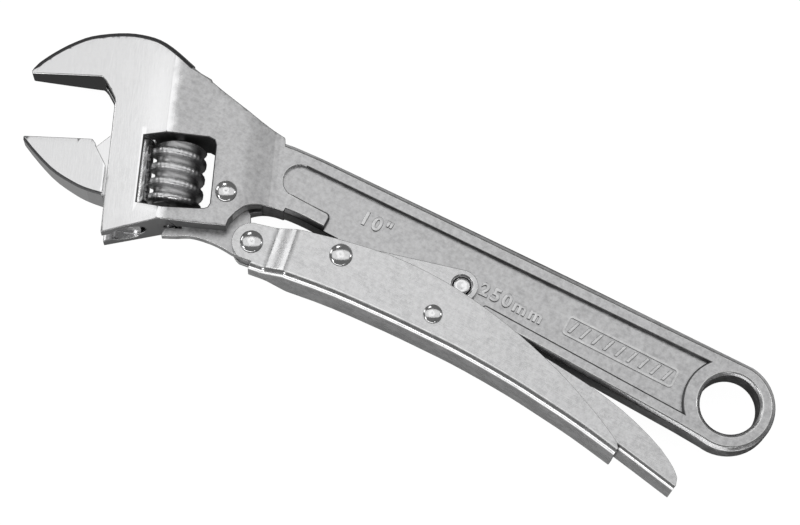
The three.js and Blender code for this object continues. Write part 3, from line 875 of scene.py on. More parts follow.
@dataclass
class WrenchFrame:
    """The forged body: fixed jaw, head, handle and hang hole, with its raised marks."""

    finishes: Finishes
    head: ForgedHead
    back_round: float = 1.7
    back_from_t: float = 26.2
    panel_round: float = 0.55
    fine_round: float = 0.34
    panel_half: float = 3.2
    panel_reach: float = 9.6
    mark_height: float = 0.6
    pad_at: Flat = (-37.2, -0.3)
    pad_length: float = 38.0
    pad_width: float = 6.6
    pad_border: float = 0.7
    pad_corner: float = 1.4
    rib_count: int = 9
    rib_width: float = 1.1
    rib_lean: float = 0.35

    def on_back(self, edge: BMEdge) -> bool:
        """Whether an edge runs along the fixed jaw's rounded back, up to the ridge.

        Args:
            edge: the edge.

        Returns:
            True for the back's two edges.
        """
        ends = [AXES.head_size(v.co) for v in edge.verts]
        along = all(p.y > self.back_from_t and -46.0 < p.x < 7.5 and abs(p.z) > 3.0 for p in ends)
        return along and is_outer_corner(edge) and self.is_rim(edge)

    def on_panel_rim(self, edge: BMEdge) -> bool:
        """Whether an edge runs round the sunken panel.

        Args:
            edge: the edge.

        Returns:
            True for the panel's rim.
        """
        heights = [abs(AXES.handle_size(v.co).z) for v in edge.verts]
        level = all(4.9 < h < 5.1 for h in heights)
        wall = min(edge.link_faces, key=lambda f: abs(f.normal.z))
        return level and is_outer_corner(edge) and self.is_rim(edge) and self.is_panel_wall(wall)

    @staticmethod
    def is_rim(edge: BMEdge) -> bool:
        """Whether an edge joins a broad face to a wall."""
        tilts = sorted(abs(f.normal.z) for f in edge.link_faces)
        return tilts[0] < 0.3 and tilts[-1] > 0.85

    def is_shaded_raw_wall(self, face: BMFace) -> bool:
        """Whether a face is an unpolished wall that also gets painted shade.

        Args:
            face: the face.

        Returns:
            True in the window, in the rail's bore and on the head's underside.
        """
        s, t, _ = AXES.head_size(face.calc_center_median())
        if abs(face.normal.z) > 0.5:
            return False
        in_window = -9.0 < s < 15.5 and -17.0 < t < 8.6
        underside = s < 22.0 and t < -15.0
        bore = -17.0 < s < -4.0 and t < 27.0
        return in_window or underside or bore

    @staticmethod
    def is_rack_side(face: BMFace) -> bool:
        """Whether a face is the window's wall beside the rack.

        Args:
            face: the face.

        Returns:
            True for that wall.
        """
        s, t, _ = AXES.head_size(face.calc_center_median())
        beside = s < -7.0 and -16.5 < t < 7.0
        return beside and abs(face.normal.z) < 0.5 and face.normal.dot(AXES.along_s) > 0.6

    def is_panel_wall(self, face: BMFace) -> bool:
        """Whether a face is a side of the sunken panel.

        Args:
            face: the face.

        Returns:
            True for the panel's sides.
        """
        x, _, z = AXES.handle_size(face.calc_center_median())
        side = abs(face.normal.z) < 0.97 and self.panel_half - 0.1 < abs(z) < 4.99
        return side and -150.0 < x < -11.0 and self.inside_outline(face)

    def inside_outline(self, face: BMFace) -> bool:
        """Whether a face looks towards the panel's middle rather than outwards."""
        y = AXES.handle_size(face.calc_center_median()).y
        return y < self.panel_reach if face.normal.y > 0.2 else y > -self.panel_reach

    @staticmethod
    def paint_window_rim_shade(shape: BMesh) -> None:
        """Paints shade on the window's rounded rim and leaves it without worn edges.

        Args:
            shape: the frame's mesh.
        """
        rounded = shape.faces.layers.float[ROUND_LAYER]
        shade_and_scale = shape.faces.layers.float[SHADE_AND_SCALE_LAYER]
        edge = shape.faces.layers.float[EDGE_LAYER]
        for face in shape.faces:
            s, t, _ = AXES.head_size(face.calc_center_median())
            if face[rounded] and -8.6 < s < 15.5 and -17.0 < t < 8.8:
                face[shade_and_scale], face[edge] = 0.9, 0.0

    def build(self) -> None:
        """Builds the body and its marks."""
        shape = merged_copy("frame", weld_mm=0.12)
        facets = self.head.facets(shape, self.head.is_broad_face)
        # Painted shade: the jaw's rounded back is darkened into a black line.
        soften(shape, self.back_round, self.on_back, segments=6, edge_share=0.0, shade_share=0.95)
        # Painted shade: the sunken panel's rounded rim is darkened into a dark line.
        soften(shape, self.panel_round, self.on_panel_rim, segments=3, edge_share=0.0, shade_share=0.85)
        soften(shape, self.fine_round)
        self.head.grade(shape, self.head.is_broad_face, facets, (-46.0, 36.0), (-27.0, 42.0))
        # Painted shade on the walls in the window, the bore and the underside, which also stand for
        # unpolished scale.
        paint_shade_and_scale(shape, self.is_shaded_raw_wall, 0.75)
        # Lighter painted shade on the window's wall beside the rack.
        paint_shade_and_scale(shape, self.is_rack_side, 0.25)
        # Painted shade on the sunken panel's walls.
        paint_shade_and_scale(shape, self.is_panel_wall, 0.8)
        # Painted shade on the window's rounded rim.
        self.paint_window_rim_shade(shape)
        material = self.finishes.get(ForgedHeadFinish())
        finished_piece("forged_frame", shape, material, "frame", ["frame"])
        for side in Side:
            self.size_mark(f"inch_size_{side.name.lower()}", '10"', (-128.2, -1.2), 6.3, side)
            self.size_mark(f"metric_size_{side.name.lower()}", "250mm", (-84.6, -4.2), 5.9, side)
            self.plain_pad(side)

    def size_mark(self, name: str, text: str, at: Flat, height: float, side: Side) -> None:
        """Raises a size number on the panel.

        Args:
            name: the piece's name.
            text: the size.
            at: lower left corner in handle millimetres, as read from that side.
            height: letter height setting in millimetres.
            side: which broad side it is on.
        """
        curve = bpy.data.curves.new(name, "FONT")
        curve.body = text
        curve.size = height * MM
        curve.extrude = self.mark_height * 0.5 * MM
        curve.bevel_depth = 0.1 * MM
        curve.bevel_resolution = 2
        curve.offset = 0.16 * MM
        curve.space_character = 1.3
        source = bpy.data.objects.new(name + "_source", curve)
        bpy.context.scene.collection.objects.link(source)
        bpy.context.view_layer.update()
        evaluated = source.evaluated_get(bpy.context.evaluated_depsgraph_get())
        mesh = bpy.data.meshes.new_from_object(evaluated)
        bpy.data.objects.remove(source)
        shape = bmesh.new()
        shape.from_mesh(mesh)
        bpy.data.meshes.remove(mesh)
        bmesh.ops.remove_doubles(shape, verts=shape.verts, dist=WELD * 10)
        add_layers(shape)
        self.outline_mark(shape)
        self.lay_on_panel(shape, at, side)
        finished_piece(name, shape, self.finishes.get(PLATED), "frame")

    @staticmethod
    def outline_mark(shape: BMesh) -> None:
        """Rubs a mark's top bright with wear and paints shade on its sides.

        Args:
            shape: the mark's mesh.
        """
        shade_and_scale = shape.faces.layers.float[SHADE_AND_SCALE_LAYER]
        edge = shape.faces.layers.float[EDGE_LAYER]
        for face in shape.faces:
            face.normal_update()
            is_side = abs(face.normal.z) < 0.9
            # Painted shade on the mark's sides; worn edge on its top.
            face[shade_and_scale], face[edge] = (0.6, 0.0) if is_side else (0.0, 0.45)

    def lay_on_panel(self, shape: BMesh, at: Flat, side: Side) -> None:
        """Moves a mark made about the origin onto the panel.

        Args:
            shape: the mark's mesh.
            at: where its origin goes, in handle millimetres.
            side: which broad side it is on.
        """
        z = (self.panel_half + 0.12) * side.value
        turn = Matrix.Identity(4)
        x, y = at
        if side is Side.REAR:
            turn = Matrix.Rotation(math.pi, 4, "Y")
            x = -142.0 - x if x < -100.0 else -101.0 - x
        bmesh.ops.transform(shape, matrix=Matrix.Translation(AXES.at(x, y, z)) @ turn, verts=shape.verts)

    def plain_pad(self, side: Side) -> None:
        """Raises a plain bordered pad with slanted grip ribs near the hang hole.

        Args:
            side: which broad side it is on.
        """
        shape = bmesh.new()
        bmesh.ops.create_grid(shape, x_segments=1, y_segments=1, size=0.5)
        bmesh.ops.scale(shape, vec=(self.pad_length * MM, self.pad_width * MM, 1.0), verts=shape.verts)
        bmesh.ops.bevel(shape, geom=shape.verts[:], offset=self.pad_corner * MM, offset_type="OFFSET",
                        affect="VERTICES", segments=5, profile=0.5, material=-1)
        outer = shape.faces[:]
        bmesh.ops.inset_region(shape, faces=outer, thickness=self.pad_border * MM, use_boundary=True,
                               use_even_offset=True)
        rim = [f for f in shape.faces if f not in outer]
        raised = bmesh.ops.extrude_face_region(shape, geom=rim)
        lifted = [g for g in raised["geom"] if isinstance(g, bmesh.types.BMVert)]
        bmesh.ops.translate(shape, vec=(0.0, 0.0, self.mark_height * 0.7 * MM), verts=lifted)
        bmesh.ops.recalc_face_normals(shape, faces=shape.faces)
        add_layers(shape)
        self.outline_mark(shape)
        bmesh.ops.translate(shape, vec=(0.0, 0.0, -0.1 * MM), verts=shape.verts)
        self.lay_flat(shape, self.pad_at, side)
        name = f"plain_pad_{side.name.lower()}"
        finished_piece(name, shape, self.finishes.get(PLATED), "frame")
        self.grip_ribs(side, self.pad_length - 4.0 * self.pad_border, self.pad_width - 3.4 * self.pad_border)

    def lay_flat(self, shape: BMesh, at: Flat, side: Side) -> None:
        """Moves a centred mark onto the panel.

        Args:
            shape: the mark's mesh.
            at: its centre in handle millimetres.
            side: which broad side it is on.
        """
        z = (self.panel_half + 0.08) * side.value
        turn = Matrix.Identity(4) if side is Side.FRONT else Matrix.Rotation(math.pi, 4, "X")
        bmesh.ops.transform(shape, matrix=Matrix.Translation(AXES.at(*at, z)) @ turn, verts=shape.verts)

    def grip_ribs(self, side: Side, length: float, width: float) -> None:
        """Raises a row of slanted ribs inside the pad.

        Args:
            side: which broad side they are on.
            length: the row's length in millimetres.
            width: each rib's length across the pad in millimetres.
        """
        shape = bmesh.new()
        gaps = self.rib_count - 1
        lean = Matrix.Identity(4)
        lean[0][1] = self.rib_lean
        size = Matrix.Diagonal((self.rib_width * MM, width * MM, self.mark_height * MM, 1.0))
        for i in range(self.rib_count):
            made = bmesh.ops.create_cube(shape, size=1.0)
            along = (i - gaps / 2.0) * (length - 3.0) / gaps
            bmesh.ops.transform(shape, matrix=Matrix.Translation((along * MM, 0.0, 0.0)) @ lean @ size,
                                verts=made["verts"])
        bmesh.ops.bevel(shape, geom=shape.edges[:], offset=0.16 * MM, offset_type="OFFSET",
                        affect="EDGES", segments=2, profile=0.5, material=-1)
        add_layers(shape)
        self.outline_mark(shape)
        self.lay_flat(shape, self.pad_at, side)
        name = f"grip_ribs_{side.name.lower()}"
        finished_piece(name, shape, self.finishes.get(PLATED), "frame")


@dataclass
class MovableJaw:
    """The polished jaw with its round rail and rack."""

    finishes: Finishes
    head: ForgedHead
    belly_round: float = 0.75
    fine_round: float = 0.22

    def on_belly(self, edge: BMEdge) -> bool:
        """Whether an edge runs along the jaw's curved underside.

        Args:
            edge: the edge.

        Returns:
            True for the underside's two edges.
        """
        if not (is_outer_corner(edge) and WrenchFrame.is_rim(edge)):
            return False
        ends = [AXES.head_size(v.co) for v in edge.verts]
        wall = min(edge.link_faces, key=lambda f: abs(f.normal.z))
        outward = wall.normal.dot(AXES.along_t) < -0.3
        return outward and all(p.x < -18.0 and p.y < 3.6 and abs(p.z) > 2.9 for p in ends)

    def is_shaded_rail_part(self, face: BMFace) -> bool:
        """Whether a face is on the rail, the rack or the neck."""
        s, _, z = AXES.head_size(face.calc_center_median())
        return s > -18.7 or (abs(z) < 2.9 and s > -24.0)

    def build(self) -> None:
        """Builds the jaw."""
        shape = merged_copy("movable_jaw", weld_mm=0.1)
        facets = self.head.facets(shape, self.head.is_jaw_face)
        # Painted shade: the curved underside's rounded edges are darkened into a black line.
        soften(shape, self.belly_round, self.on_belly, segments=5, edge_share=0.0, shade_share=0.95)
        soften(shape, self.fine_round)
        self.head.grade(shape, self.head.is_jaw_face, facets, (-45.4, self.head.rail_from), (-15.0, 6.0))
        # Painted shade on the rail, rack and neck, which sit inside the head.
        paint_shade_and_scale(shape, self.is_shaded_rail_part, 0.12)
        material = self.finishes.get(POLISHED)
        finished_piece("polished_jaw", shape, material, "jaw", ["movable_jaw"])


# ------------------------------------------------------------------ worm, pin and springs
@dataclass
class WormDrive:
    """The knurled worm, the pin that it turns on and the pin's spring."""

    finishes: Finishes
    axis_s: float = 3.1
    from_t: float = -13.9
    to_t: float = 6.1
    root: float = 6.8
    crest: float = 9.0
    pitch: float = 5.0
    bore: float = 2.3
    turn_steps: int = 144
    knurls: int = 36
    knurl_depth: float = 0.14
    end_ease: float = 0.9
    end_share: float = 0.35
    pin_low: float = -20.3
    pin_high: float = 10.2

    def thread_profile(self) -> list[Flat]:
        """One pitch of the thread, its crest in the middle.

        Returns:
            (radius, height) in millimetres, from bottom to top.
        """
        root, crest, half = self.root, self.crest, self.pitch / 2.0
        rise = [(root, -half), (root, -1.75), (root + 0.12, -1.55), (root + 0.5, -1.36),
                (crest - 0.5, -1.0), (crest - 0.16, -0.82), (crest - 0.02, -0.5), (crest, 0.0)]
        return rise + [(r, -z) for r, z in reversed(rise[:-1])]

    def spiral(self) -> BMesh:
        """The endless thread before its ends are cut.

        Returns:
            An open mesh about the Z axis with Z along the pin, in metres.
        """
        shape = bmesh.new()
        turns = 7
        middle = (self.from_t + self.to_t) / 2.0
        start = middle - self.pitch * (turns // 2 + 1)
        verts = [shape.verts.new((r * MM, 0.0, (start + z) * MM)) for r, z in self.thread_profile()]
        edges = [shape.edges.new(pair) for pair in zip(verts, verts[1:])]
        steps = turns * self.turn_steps
        bmesh.ops.spin(shape, geom=verts + edges, cent=(0.0, 0.0, 0.0), axis=(0.0, 0.0, -1.0),
                       dvec=(0.0, 0.0, self.pitch * MM / self.turn_steps), angle=math.tau * turns,
                       steps=steps)
        bmesh.ops.remove_doubles(shape, verts=shape.verts, dist=WELD * 5)
        return shape

    def trimmed(self, shape: BMesh) -> None:
        """Cuts the ends square, eases them and closes them round the bore.

        Args:
            shape: the endless thread, which is changed.
        """
        for t, is_top in ((self.to_t, True), (self.from_t, False)):
            everything = shape.verts[:] + shape.edges[:] + shape.faces[:]
            bmesh.ops.bisect_plane(shape, geom=everything, dist=WELD / 10, plane_co=(0.0, 0.0, t * MM),
                                   plane_no=(0.0, 0.0, 1.0), clear_outer=is_top, clear_inner=not is_top)
        length = self.to_t - self.from_t
        middle = (self.from_t + self.to_t) / 2.0
        for vert in shape.verts:
            radius = math.hypot(vert.co.x, vert.co.y) / MM
            inwards = length / 2.0 - abs(vert.co.z / MM - middle)
            fade = min(max(inwards / self.end_ease, 0.0), 1.0)
            knurl = 0.5 - 0.5 * math.cos(self.knurls * math.atan2(vert.co.y, vert.co.x))
            above = max(radius - self.root, 0.0)
            shown = self.root + above * (self.end_share + (1.0 - self.end_share) * fade)
            shown -= self.knurl_depth * knurl * eased((above - 1.2) / 0.8)
            vert.co.x *= shown / radius
            vert.co.y *= shown / radius
        rims = [e for e in shape.edges if e.is_boundary]
        rings = []
        for t in (self.from_t, self.to_t):
            ring = bmesh.ops.create_circle(shape, segments=48, radius=self.bore * MM,
                                           matrix=Matrix.Translation((0.0, 0.0, t * MM)))["verts"]
            ring_edges = list(dict.fromkeys(e for v in ring for e in v.link_edges))
            rings.append(ring_edges)
            outer = [e for e in rims if abs(e.verts[0].co.z / MM - t) < 0.2]
            bmesh.ops.bridge_loops(shape, edges=outer + ring_edges)
        bmesh.ops.bridge_loops(shape, edges=rings[0] + rings[1])

    def build(self) -> None:
        """Builds the worm, its pin and its spring."""
        shape = self.spiral()
        self.trimmed(shape)
        bmesh.ops.recalc_face_normals(shape, faces=shape.faces)
        add_layers(shape)
        # Painted shade in the thread's roots, fading out towards the crests.
        layer = shape.faces.layers.float[SHADE_AND_SCALE_LAYER]
        for face in shape.faces:
            middle = face.calc_center_median()
            away = math.hypot(middle.x, middle.y) / MM
            face[layer] = 0.35 * (1.0 - eased((away - self.root - 0.05) / 0.9))
        place_shape_along(shape, self.axis_s)
        finished_piece("knurled_worm", shape, self.finishes.get(THREAD), "worm", ["worm"],
                       even=False)
        self.pin()
        spring = coil_shape(radius=1.45, wire=0.3, start=10.85, end=14.95, turns=4.0)
        place_shape_along(spring, self.axis_s)
        finished_piece("worm_pin_spring", spring, self.finishes.get(SPRUNG), "pin",
                       ["pin_spring"], even=False)

    def pin(self) -> None:
        """Builds the round pin with its domed lower end."""
        low, high = self.pin_low, self.pin_high
        dome = [(0.0, low), (0.5, low + 0.04), (0.95, low + 0.2), (1.35, low + 0.48), (1.65, low + 0.86),
                (1.84, low + 1.3), (1.95, low + 1.8), (2.0, low + 2.4)]
        top = [(2.0, high - 0.4), (1.9, high - 0.15), (1.6, high), (0.0, high)]
        shape = turned_shape(dome + top, 32)
        place_shape_along(shape, self.axis_s)
        finished_piece("worm_pin_round", shape, self.finishes.get(RIVETED), "pin", ["worm_pin"])


def place_shape_along(shape: BMesh, s: float) -> None:
    """Moves a mesh made about Z so that Z runs along t and X along s.

    Args:
        shape: the mesh that is moved.
        s: distance along the jaw faces in millimetres.
    """
    side, axis = AXES.along_s, AXES.along_t
    third = axis.cross(side)
    basis = Matrix((side, third, axis)).transposed().to_4x4()
    bmesh.ops.transform(shape, matrix=Matrix.Translation(AXES.head_at(s, 0.0)) @ basis, verts=shape.verts)


def coil_shape(radius: float, wire: float, start: float, end: float, turns: float) -> BMesh:
    """A closed coil of round wire about the Z axis.

    Args:
        radius: the coil's mean radius in millimetres.
        wire: the wire's radius in millimetres.
        start: height of its first end in millimetres.
        end: height of its last end in millimetres.
        turns: number of turns.

    Returns:
        The mesh, in metres.
    """
    sides, steps_per_turn = 10, 28
    shape = bmesh.new()
    upright = Matrix.Translation((radius * MM, 0.0, start * MM)) @ Matrix.Rotation(math.pi / 2.0, 4, "X")
    ring = bmesh.ops.create_circle(shape, cap_ends=True, segments=sides, radius=wire * MM, matrix=upright)
    steps = round(turns * steps_per_turn)
    rise = (end - start) * MM / steps
    bmesh.ops.spin(shape, geom=ring["verts"] + shape.edges[:] + shape.faces[:], cent=(0.0, 0.0, 0.0),
                   axis=(0.0, 0.0, 1.0), dvec=(0.0, 0.0, rise), angle=math.tau * turns, steps=steps)
    bmesh.ops.remove_doubles(shape, verts=shape.verts, dist=WELD / 10)
    open_ends = [e for e in shape.edges if e.is_boundary]
    bmesh.ops.holes_fill(shape, edges=open_ends, sides=sides)
    bmesh.ops.recalc_face_normals(shape, faces=shape.faces)
    add_layers(shape)
    return shape


# ------------------------------------------------------------------ rivets and pins
@dataclass(frozen=True)
class RivetSize:
    """A rivet's place and sizes, in handle millimetres."""

    name: str
    node: str
    body: str
    at: Flat
    shank: float
    head: float
    seat: float
    height: float


RIVETS = (
    RivetSize("head_rivet_peened", "head_rivet", "frame", (-168.44, -13.03), 2.4, 3.4, 8.1, 1.3),
    RivetSize("lever_rivet_peened", "lever_rivet", "lever", (-154.28, -22.85), 2.4, 3.6, 4.7, 1.2),
    RivetSize("toggle_rivet_peened", "toggle_rivet", "lever", (-127.21, -14.75), 2.6, 3.6, 8.8, 1.2),
    RivetSize("release_rivet_peened", "release_rivet", "lever", (-93.51, -18.22), 2.1, 3.0, 8.8, 1.0),
)


@dataclass
class Rivets:
    """All the peened rivets and the plain pin in the frame."""

    finishes: Finishes

    @staticmethod
    def profile(size: RivetSize) -> list[Flat]:
        """Half of a rivet's outline: a peened dome with a groove round it and a dimple.

        Args:
            size: the rivet's sizes.

        Returns:
            (radius, height) from the shank to the axis.
        """
        r, h, z = size.head, size.height, size.seat
        dome = [(0.985, 0.07), (1.0, 0.15), (0.985, 0.29), (0.93, 0.44), (0.85, 0.57), (0.74, 0.7),
                (0.61, 0.81), (0.47, 0.895), (0.33, 0.955), (0.2, 0.99), (0.13, 0.985), (0.07, 0.95)]
        rim = [(size.shank, z), (r * 0.93, z)]
        return rim + [(r * a, z + h * b) for a, b in dome] + [(0.0, z + h * 0.935)]

    def build(self) -> None:
        """Builds each rivet and the frame pin."""
        for size in RIVETS:
            upper = self.profile(size)
            lower = [(r, -z) for r, z in reversed(upper)]
            shape = turned_shape(lower + upper, 48)
            place_shape(shape, AXES.at(*size.at))
            # Painted shade in the groove round the foot of the rivet's dome.
            layer = shape.faces.layers.float[SHADE_AND_SCALE_LAYER]
            for face in shape.faces:
                x, y, z = AXES.handle_size(face.calc_center_median())
                away = math.hypot(x - size.at[0], y - size.at[1])
                low = abs(z) < size.seat + 0.22 * size.height
                face[layer] = 0.85 if low and away > size.head * 0.8 else 0.0
            material = self.finishes.get(RIVETED)
            finished_piece(size.name, shape, material, size.body, [size.node])
        self.frame_pin()

    def frame_pin(self) -> None:
        """Builds the flush pin that the toggle links turn on."""
        end = 5.1
        half = [(2.6, 0.0), (2.6, end - 0.36), (2.5, end - 0.12), (2.3, end), (1.3, end - 0.02),
                (0.9, end - 0.1), (0.4, end - 0.14), (0.0, end - 0.15)]
        lower = [(r, -z) for r, z in reversed(half[1:])]
        shape = turned_shape(lower + half, 40)
        place_shape(shape, AXES.at(-89.99, -4.92))
        material = self.finishes.get(RIVETED)
        finished_piece("frame_pin_flush", shape, material, "frame", ["frame_pin"])


# ------------------------------------------------------------------ levers and links
@dataclass
class HandLever:
    """The pressed channel that the hand squeezes."""

    finishes: Finishes
    bend: float = 2.3
    wall: float = 1.8
    narrow: float = 4.6
    wide: float = 8.7
    joggle_from: float = -149.2
    joggle_to: float = -140.4
    joggle_y: float = -20.0
    lean: float = math.radians(9.5)
    fine_round: float = 0.2

    def is_bend(self, edge: BMEdge) -> bool:
        """Whether an edge is the outside of the fold between the web and a side.

        Args:
            edge: the edge.

        Returns:
            True for the two folds.
        """
        if not (is_outer_corner(edge) and WrenchFrame.is_rim(edge)):
            return False
        wall = min(edge.link_faces, key=lambda f: abs(f.normal.z))
        ends = [AXES.handle_size(v.co) for v in edge.verts]
        return wall.normal.y < -0.8 and all(p.x > -151.7 and p.y < -25.0 for p in ends)

    def along_joggle(self, place: Vector) -> float:
        """How far along the leaning joggle a place is.

        Args:
            place: the place in the frame.

        Returns:
            Handle x in millimetres of its foot on the joggle's middle line.
        """
        x, y, _ = AXES.handle_size(place)
        turned = Vector((x - self.joggle_to, y - self.joggle_y))
        turned.rotate(Matrix.Rotation(-self.lean, 2))
        return turned.x + self.joggle_to

    def outer_half(self, place: Vector) -> float:
        """Half width in metres of the channel's outside at a place."""
        share = (self.along_joggle(place) - self.joggle_from) / (self.joggle_to - self.joggle_from)
        return (self.narrow + (self.wide - self.narrow) * eased(share)) * MM

    def is_outside(self, face: BMFace) -> bool:
        """Whether a face is the outside of a flange near the joggle.

        Args:
            face: the face.

        Returns:
            True for the flanges' outsides.
        """
        middle = face.calc_center_median()
        z = AXES.handle_size(middle).z
        near = self.joggle_from - 1.0 < self.along_joggle(middle) < self.joggle_to + 1.0
        outer = abs(z) > self.outer_half(middle) / MM - 0.9
        return near and outer and abs(face.normal.z) > 0.6 and face.normal.z * z > 0.0

    @staticmethod
    def is_tail_end(face: BMFace) -> bool:
        """Whether a face is the sheared end of the sheet, near the release lever."""
        return face.normal.x > 0.55 and AXES.handle_size(face.calc_center_median()).x > -30.0

    def build(self) -> None:
        """Builds the lever."""
        shape = merged_copy("hand_lever", weld_mm=0.1)
        soften(shape, self.bend, self.is_bend, segments=8, edge_share=0.9)
        soften(shape, self.fine_round)
        axis = Vector((math.cos(self.lean), math.sin(self.lean), 0.0))
        origin = AXES.at(self.joggle_to, self.joggle_y)
        spots = steps_between(self.joggle_from - self.joggle_to, 0.0, 0.6)
        cut_faces(shape, self.is_outside, grid_cuts(origin, axis, spots))
        rounded = shape.faces.layers.float[ROUND_LAYER]
        moved = {v for f in shape.faces if f[rounded] == 0.0 and self.is_outside(f) for v in f.verts}
        middle = AXES.hang_hole.z
        for vert in moved:
            vert.co.z = middle + math.copysign(self.outer_half(vert.co), vert.co.z - middle)
        # Painted shade inside the channel.
        paint_shade_and_scale(shape, lambda f: is_inside_channel(f, self.wide - self.wall, self.wide), 0.5)
        # Painted shadow on the sheared end, where the release lever goes in.
        paint_shade_and_scale(shape, self.is_tail_end, 0.95)
        finished_piece("pressed_hand_lever", shape, self.finishes.get(PRESSED), "lever",
                       ["hand_lever"])


def is_inside_channel(face: BMFace, inner_half: float, outer_half: float) -> bool:
    """Whether a face lines the inside of a pressed channel.

    Args:
        face: the face.
        inner_half: half the width between the side walls, in millimetres.
        outer_half: half the outside width, in millimetres.

    Returns:
        True for the linings.
    """
    z = AXES.handle_size(face.calc_center_median()).z
    faces_in = face.normal.z * z < 0.0 and abs(face.normal.z) > 0.6
    floor = face.normal.y > 0.8 and abs(z) < inner_half
    return (faces_in and abs(z) < outer_half - 0.5) or floor


@dataclass
class ReleaseLever:
    """The small channel inside the hand lever, with its sleeve and spring."""

    finishes: Finishes
    bend: float = 1.7
    fine_round: float = 0.18
    at: Flat = (-93.51, -18.22)

    def is_bend(self, edge: BMEdge) -> bool:
        """Whether an edge is the outside of the fold between the web and a side.

        Args:
            edge: the edge.

        Returns:
            True for the two folds.
        """
        if not (is_outer_corner(edge) and WrenchFrame.is_rim(edge)):
            return False
        wall = min(edge.link_faces, key=lambda f: abs(f.normal.z))
        ends = [AXES.handle_size(v.co) for v in edge.verts]
        return wall.normal.y < -0.8 and all(p.x > -97.5 and p.y < -22.9 for p in ends)

    def build(self) -> None:
        """Builds the lever, the sleeve and the torsion spring."""
        shape = merged_copy("release_lever", weld_mm=0.1)
        soften(shape, self.bend, self.is_bend, segments=7, edge_share=0.9)
        soften(shape, self.fine_round)
        # Painted shade inside the channel.
        paint_shade_and_scale(shape, lambda f: is_inside_channel(f, 5.5, 6.7), 0.3)
        material = self.finishes.get(PRESSED)
        finished_piece("pressed_release_lever", shape, material, "release", ["release_lever"])
        spring = coil_shape(radius=3.2, wire=0.34, start=-3.4, end=3.4, turns=5.25)
        place_shape(spring, AXES.at(*self.at))
        finished_piece("torsion_spring", spring, self.finishes.get(SPRUNG), "lever",
                       ["release_spring"], even=False)
        simple_piece(self.finishes, "spring_sleeve", "release_sleeve", "lever", RIVETED, 0.08)


def simple_piece(finishes: Finishes, name: str, node: str, body: str, finish: SteelFinish,
                 radius: float) -> None:
    """Rounds a CAD node's edges and dresses it.

    Args:
        finishes: the materials.
        name: the piece's name.
        node: the CAD node that it stands for.
        body: the body that it moves with.
        finish: what it is made of.
        radius: width of its rounded edges in millimetres.
    """
    shape = merged_copy(node, weld_mm=0.02)
    soften(shape, radius)
    finished_piece(name, shape, finishes.get(finish), body, [node])


@dataclass
class ToggleLinkage:
    """The bell crank, the toggle links and their washers."""

    finishes: Finishes

    def build(self) -> None:
        """Builds each plate and washer."""
        simple_piece(self.finishes, "bell_crank_plate", "bell_crank", "crank", PLATED, 0.28)
        for side in ("front", "rear"):
            simple_piece(self.finishes, f"toggle_plate_{side}", f"toggle_link_{side}", "links", PRESSED, 0.22)
            simple_piece(self.finishes, f"crank_shim_{side}", f"crank_washer_{side}", "lever", RIVETED, 0.08)
            simple_piece(self.finishes, f"toggle_shim_{side}", f"toggle_washer_{side}", "lever", RIVETED, 0.1)
        simple_piece(self.finishes, "toggle_spacer", "link_spacer", "links", RIVETED, 0.15)


# ------------------------------------------------------------------ studio
WHITE = (1.0, 1.0, 1.0, 1.0)


@dataclass(frozen=True)
class SoftBox:
    """A square studio light that faces the wrench."""

    name: str
    at: tuple[float, float, float]
    size: float
    length: float
    radiance: float


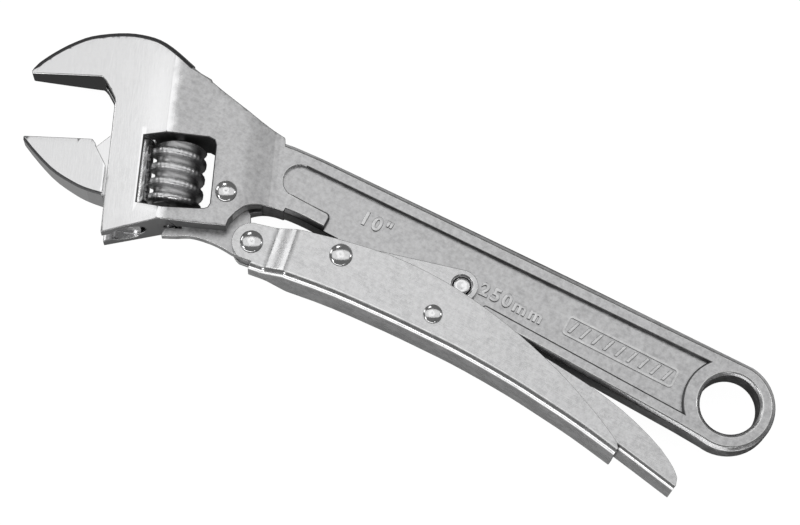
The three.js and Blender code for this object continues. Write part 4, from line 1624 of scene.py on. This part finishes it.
@dataclass
class Studio:
    """The pale floor, the soft lights and the camera."""

    lens: float = 112.6796
    eye: tuple[float, float, float] = (0.07957555, -0.20509862, 0.76)
    right: tuple[float, float, float] = (0.88751144, 0.45921601, 0.03800129)
    up: tuple[float, float, float] = (-0.45032784, 0.84694348, 0.28265099)
    floor_drop: float = 0.0002
    floor_glow: float = 0.97
    room_seen: float = 1.0
    room_mirrored: float = 0.16
    boxes: tuple[SoftBox, ...] = (
        SoftBox("ceiling", (-0.12, 0.24, 1.15), 1.95, 0.76, 0.70),
        SoftBox("ceiling_core", (-0.20, 0.22, 1.10), 0.42, 0.50, 0.30),
        SoftBox("front_strip", (0.0, -1.05, 0.34), 1.30, 0.30, 2.4),
        SoftBox("left_box", (-1.00, 0.11, 0.50), 0.34, 0.40, 1.9),
        SoftBox("spot_far_left", (-0.62, 0.72, 0.80), 0.20, 0.20, 3.6),
        SoftBox("spot_far_right", (0.72, 0.62, 0.78), 0.20, 0.20, 3.6),
        SoftBox("spot_near_left", (-0.56, -0.62, 0.70), 0.24, 0.20, 4.6),
        SoftBox("spot_near_right", (0.68, -0.62, 0.78), 0.16, 0.16, 2.6),
    )

    def floor(self) -> None:
        """Lays a plain pale floor under the wrench."""
        shape = bmesh.new()
        bmesh.ops.create_grid(shape, x_segments=1, y_segments=1, size=6.0)
        bmesh.ops.translate(shape, vec=(0.0, 0.0, -self.floor_drop), verts=shape.verts)
        mesh = bpy.data.meshes.new("floor")
        shape.to_mesh(mesh)
        shape.free()
        material = bpy.data.materials.new("pale_floor")
        material.use_nodes = True
        w = Wiring(material.node_tree)
        material.node_tree.nodes.clear()
        seen = w.add("ShaderNodeLightPath").outputs["Is Camera Ray"]
        place = w.add("ShaderNodeTexCoord").outputs["Object"]
        y = w.add("ShaderNodeSeparateXYZ", {"Vector": place}).outputs["Y"]
        far = w.spread(y, -0.060, -0.036, 1.5, 0.26)
        near = w.math("MULTIPLY", far, w.spread(y, -0.022, 0.0, 1.0, 0.16))
        card = w.math("ADD", near, w.spread(y, 0.030, 0.055, 0.0, 0.55))
        paper = w.add("ShaderNodeBsdfDiffuse", {"Color": (0.16, 0.16, 0.16, 1.0)})
        glow = w.add("ShaderNodeEmission", {"Color": WHITE, "Strength": self.floor_glow})
        dim = w.add("ShaderNodeEmission", {"Strength": card})
        lit = w.add("ShaderNodeAddShader", {0: paper.outputs[0], 1: glow.outputs[0]})
        both = w.add("ShaderNodeMixShader", {0: seen, 1: dim.outputs[0], 2: lit.outputs[0]})
        w.add("ShaderNodeOutputMaterial", {"Surface": both.outputs[0]})
        mesh.materials.append(material)
        floor = bpy.data.objects.new("floor", mesh)
        bpy.context.scene.collection.objects.link(floor)

    def surroundings(self) -> None:
        """Sets the room: pale where it is seen, dim where the steel mirrors it."""
        world = bpy.data.worlds.new("room")
        bpy.context.scene.world = world
        world.use_nodes = True
        world.node_tree.nodes.clear()
        w = Wiring(world.node_tree)
        seen = w.add("ShaderNodeLightPath").outputs["Is Camera Ray"]
        pale = w.add("ShaderNodeBackground", {"Color": WHITE, "Strength": self.room_seen})
        dim = w.add("ShaderNodeBackground", {"Color": WHITE, "Strength": self.room_mirrored})
        both = w.add("ShaderNodeMixShader", {0: seen, 1: dim.outputs[0], 2: pale.outputs[0]})
        w.add("ShaderNodeOutputWorld", {"Surface": both.outputs[0]})

    def lights(self) -> None:
        """Hangs the soft boxes, each facing the wrench."""
        for box in self.boxes:
            data = bpy.data.lights.new(box.name, "AREA")
            data.shape = "RECTANGLE"
            data.size = box.size
            data.size_y = box.length
            data.energy = box.radiance * math.pi * box.size * box.length
            light = bpy.data.objects.new(box.name, data)
            light.location = box.at
            light.rotation_mode = "QUATERNION"
            light.rotation_quaternion = Vector(box.at).to_track_quat("Z", "Y")
            bpy.context.scene.collection.objects.link(light)

    def camera(self) -> None:
        """Stands the camera above the wrench, a little to its front."""
        data = bpy.data.cameras.new("camera")
        data.lens = self.lens
        data.sensor_width = 36.0
        data.clip_start = 0.01
        camera = bpy.data.objects.new("camera", data)
        bpy.context.scene.collection.objects.link(camera)
        right, up = Vector(self.right), Vector(self.up)
        turn = Matrix((right, up, right.cross(up))).transposed().to_4x4()
        camera.matrix_world = Matrix.Translation(self.eye) @ turn
        bpy.context.scene.camera = camera

    def build(self) -> None:
        """Sets up the whole studio."""
        self.floor()
        self.surroundings()
        self.lights()
        self.camera()
        bpy.context.scene.view_settings.view_transform = "Standard"


def write_sizes() -> None:
    """Updates the view layer."""
    bpy.context.view_layer.update()


def main() -> None:
    """Builds the studio and every sub-assembly in order."""
    logging.basicConfig(level=logging.INFO, format="%(name)s: %(message)s")
    Studio().build()
    finishes = Finishes()
    head = ForgedHead()
    WrenchFrame(finishes, head).build()
    MovableJaw(finishes, head).build()
    WormDrive(finishes).build()
    ToggleLinkage(finishes).build()
    HandLever(finishes).build()
    ReleaseLever(finishes).build()
    Rivets(finishes).build()
    write_sizes()


if __name__ == "__main__":
    main()
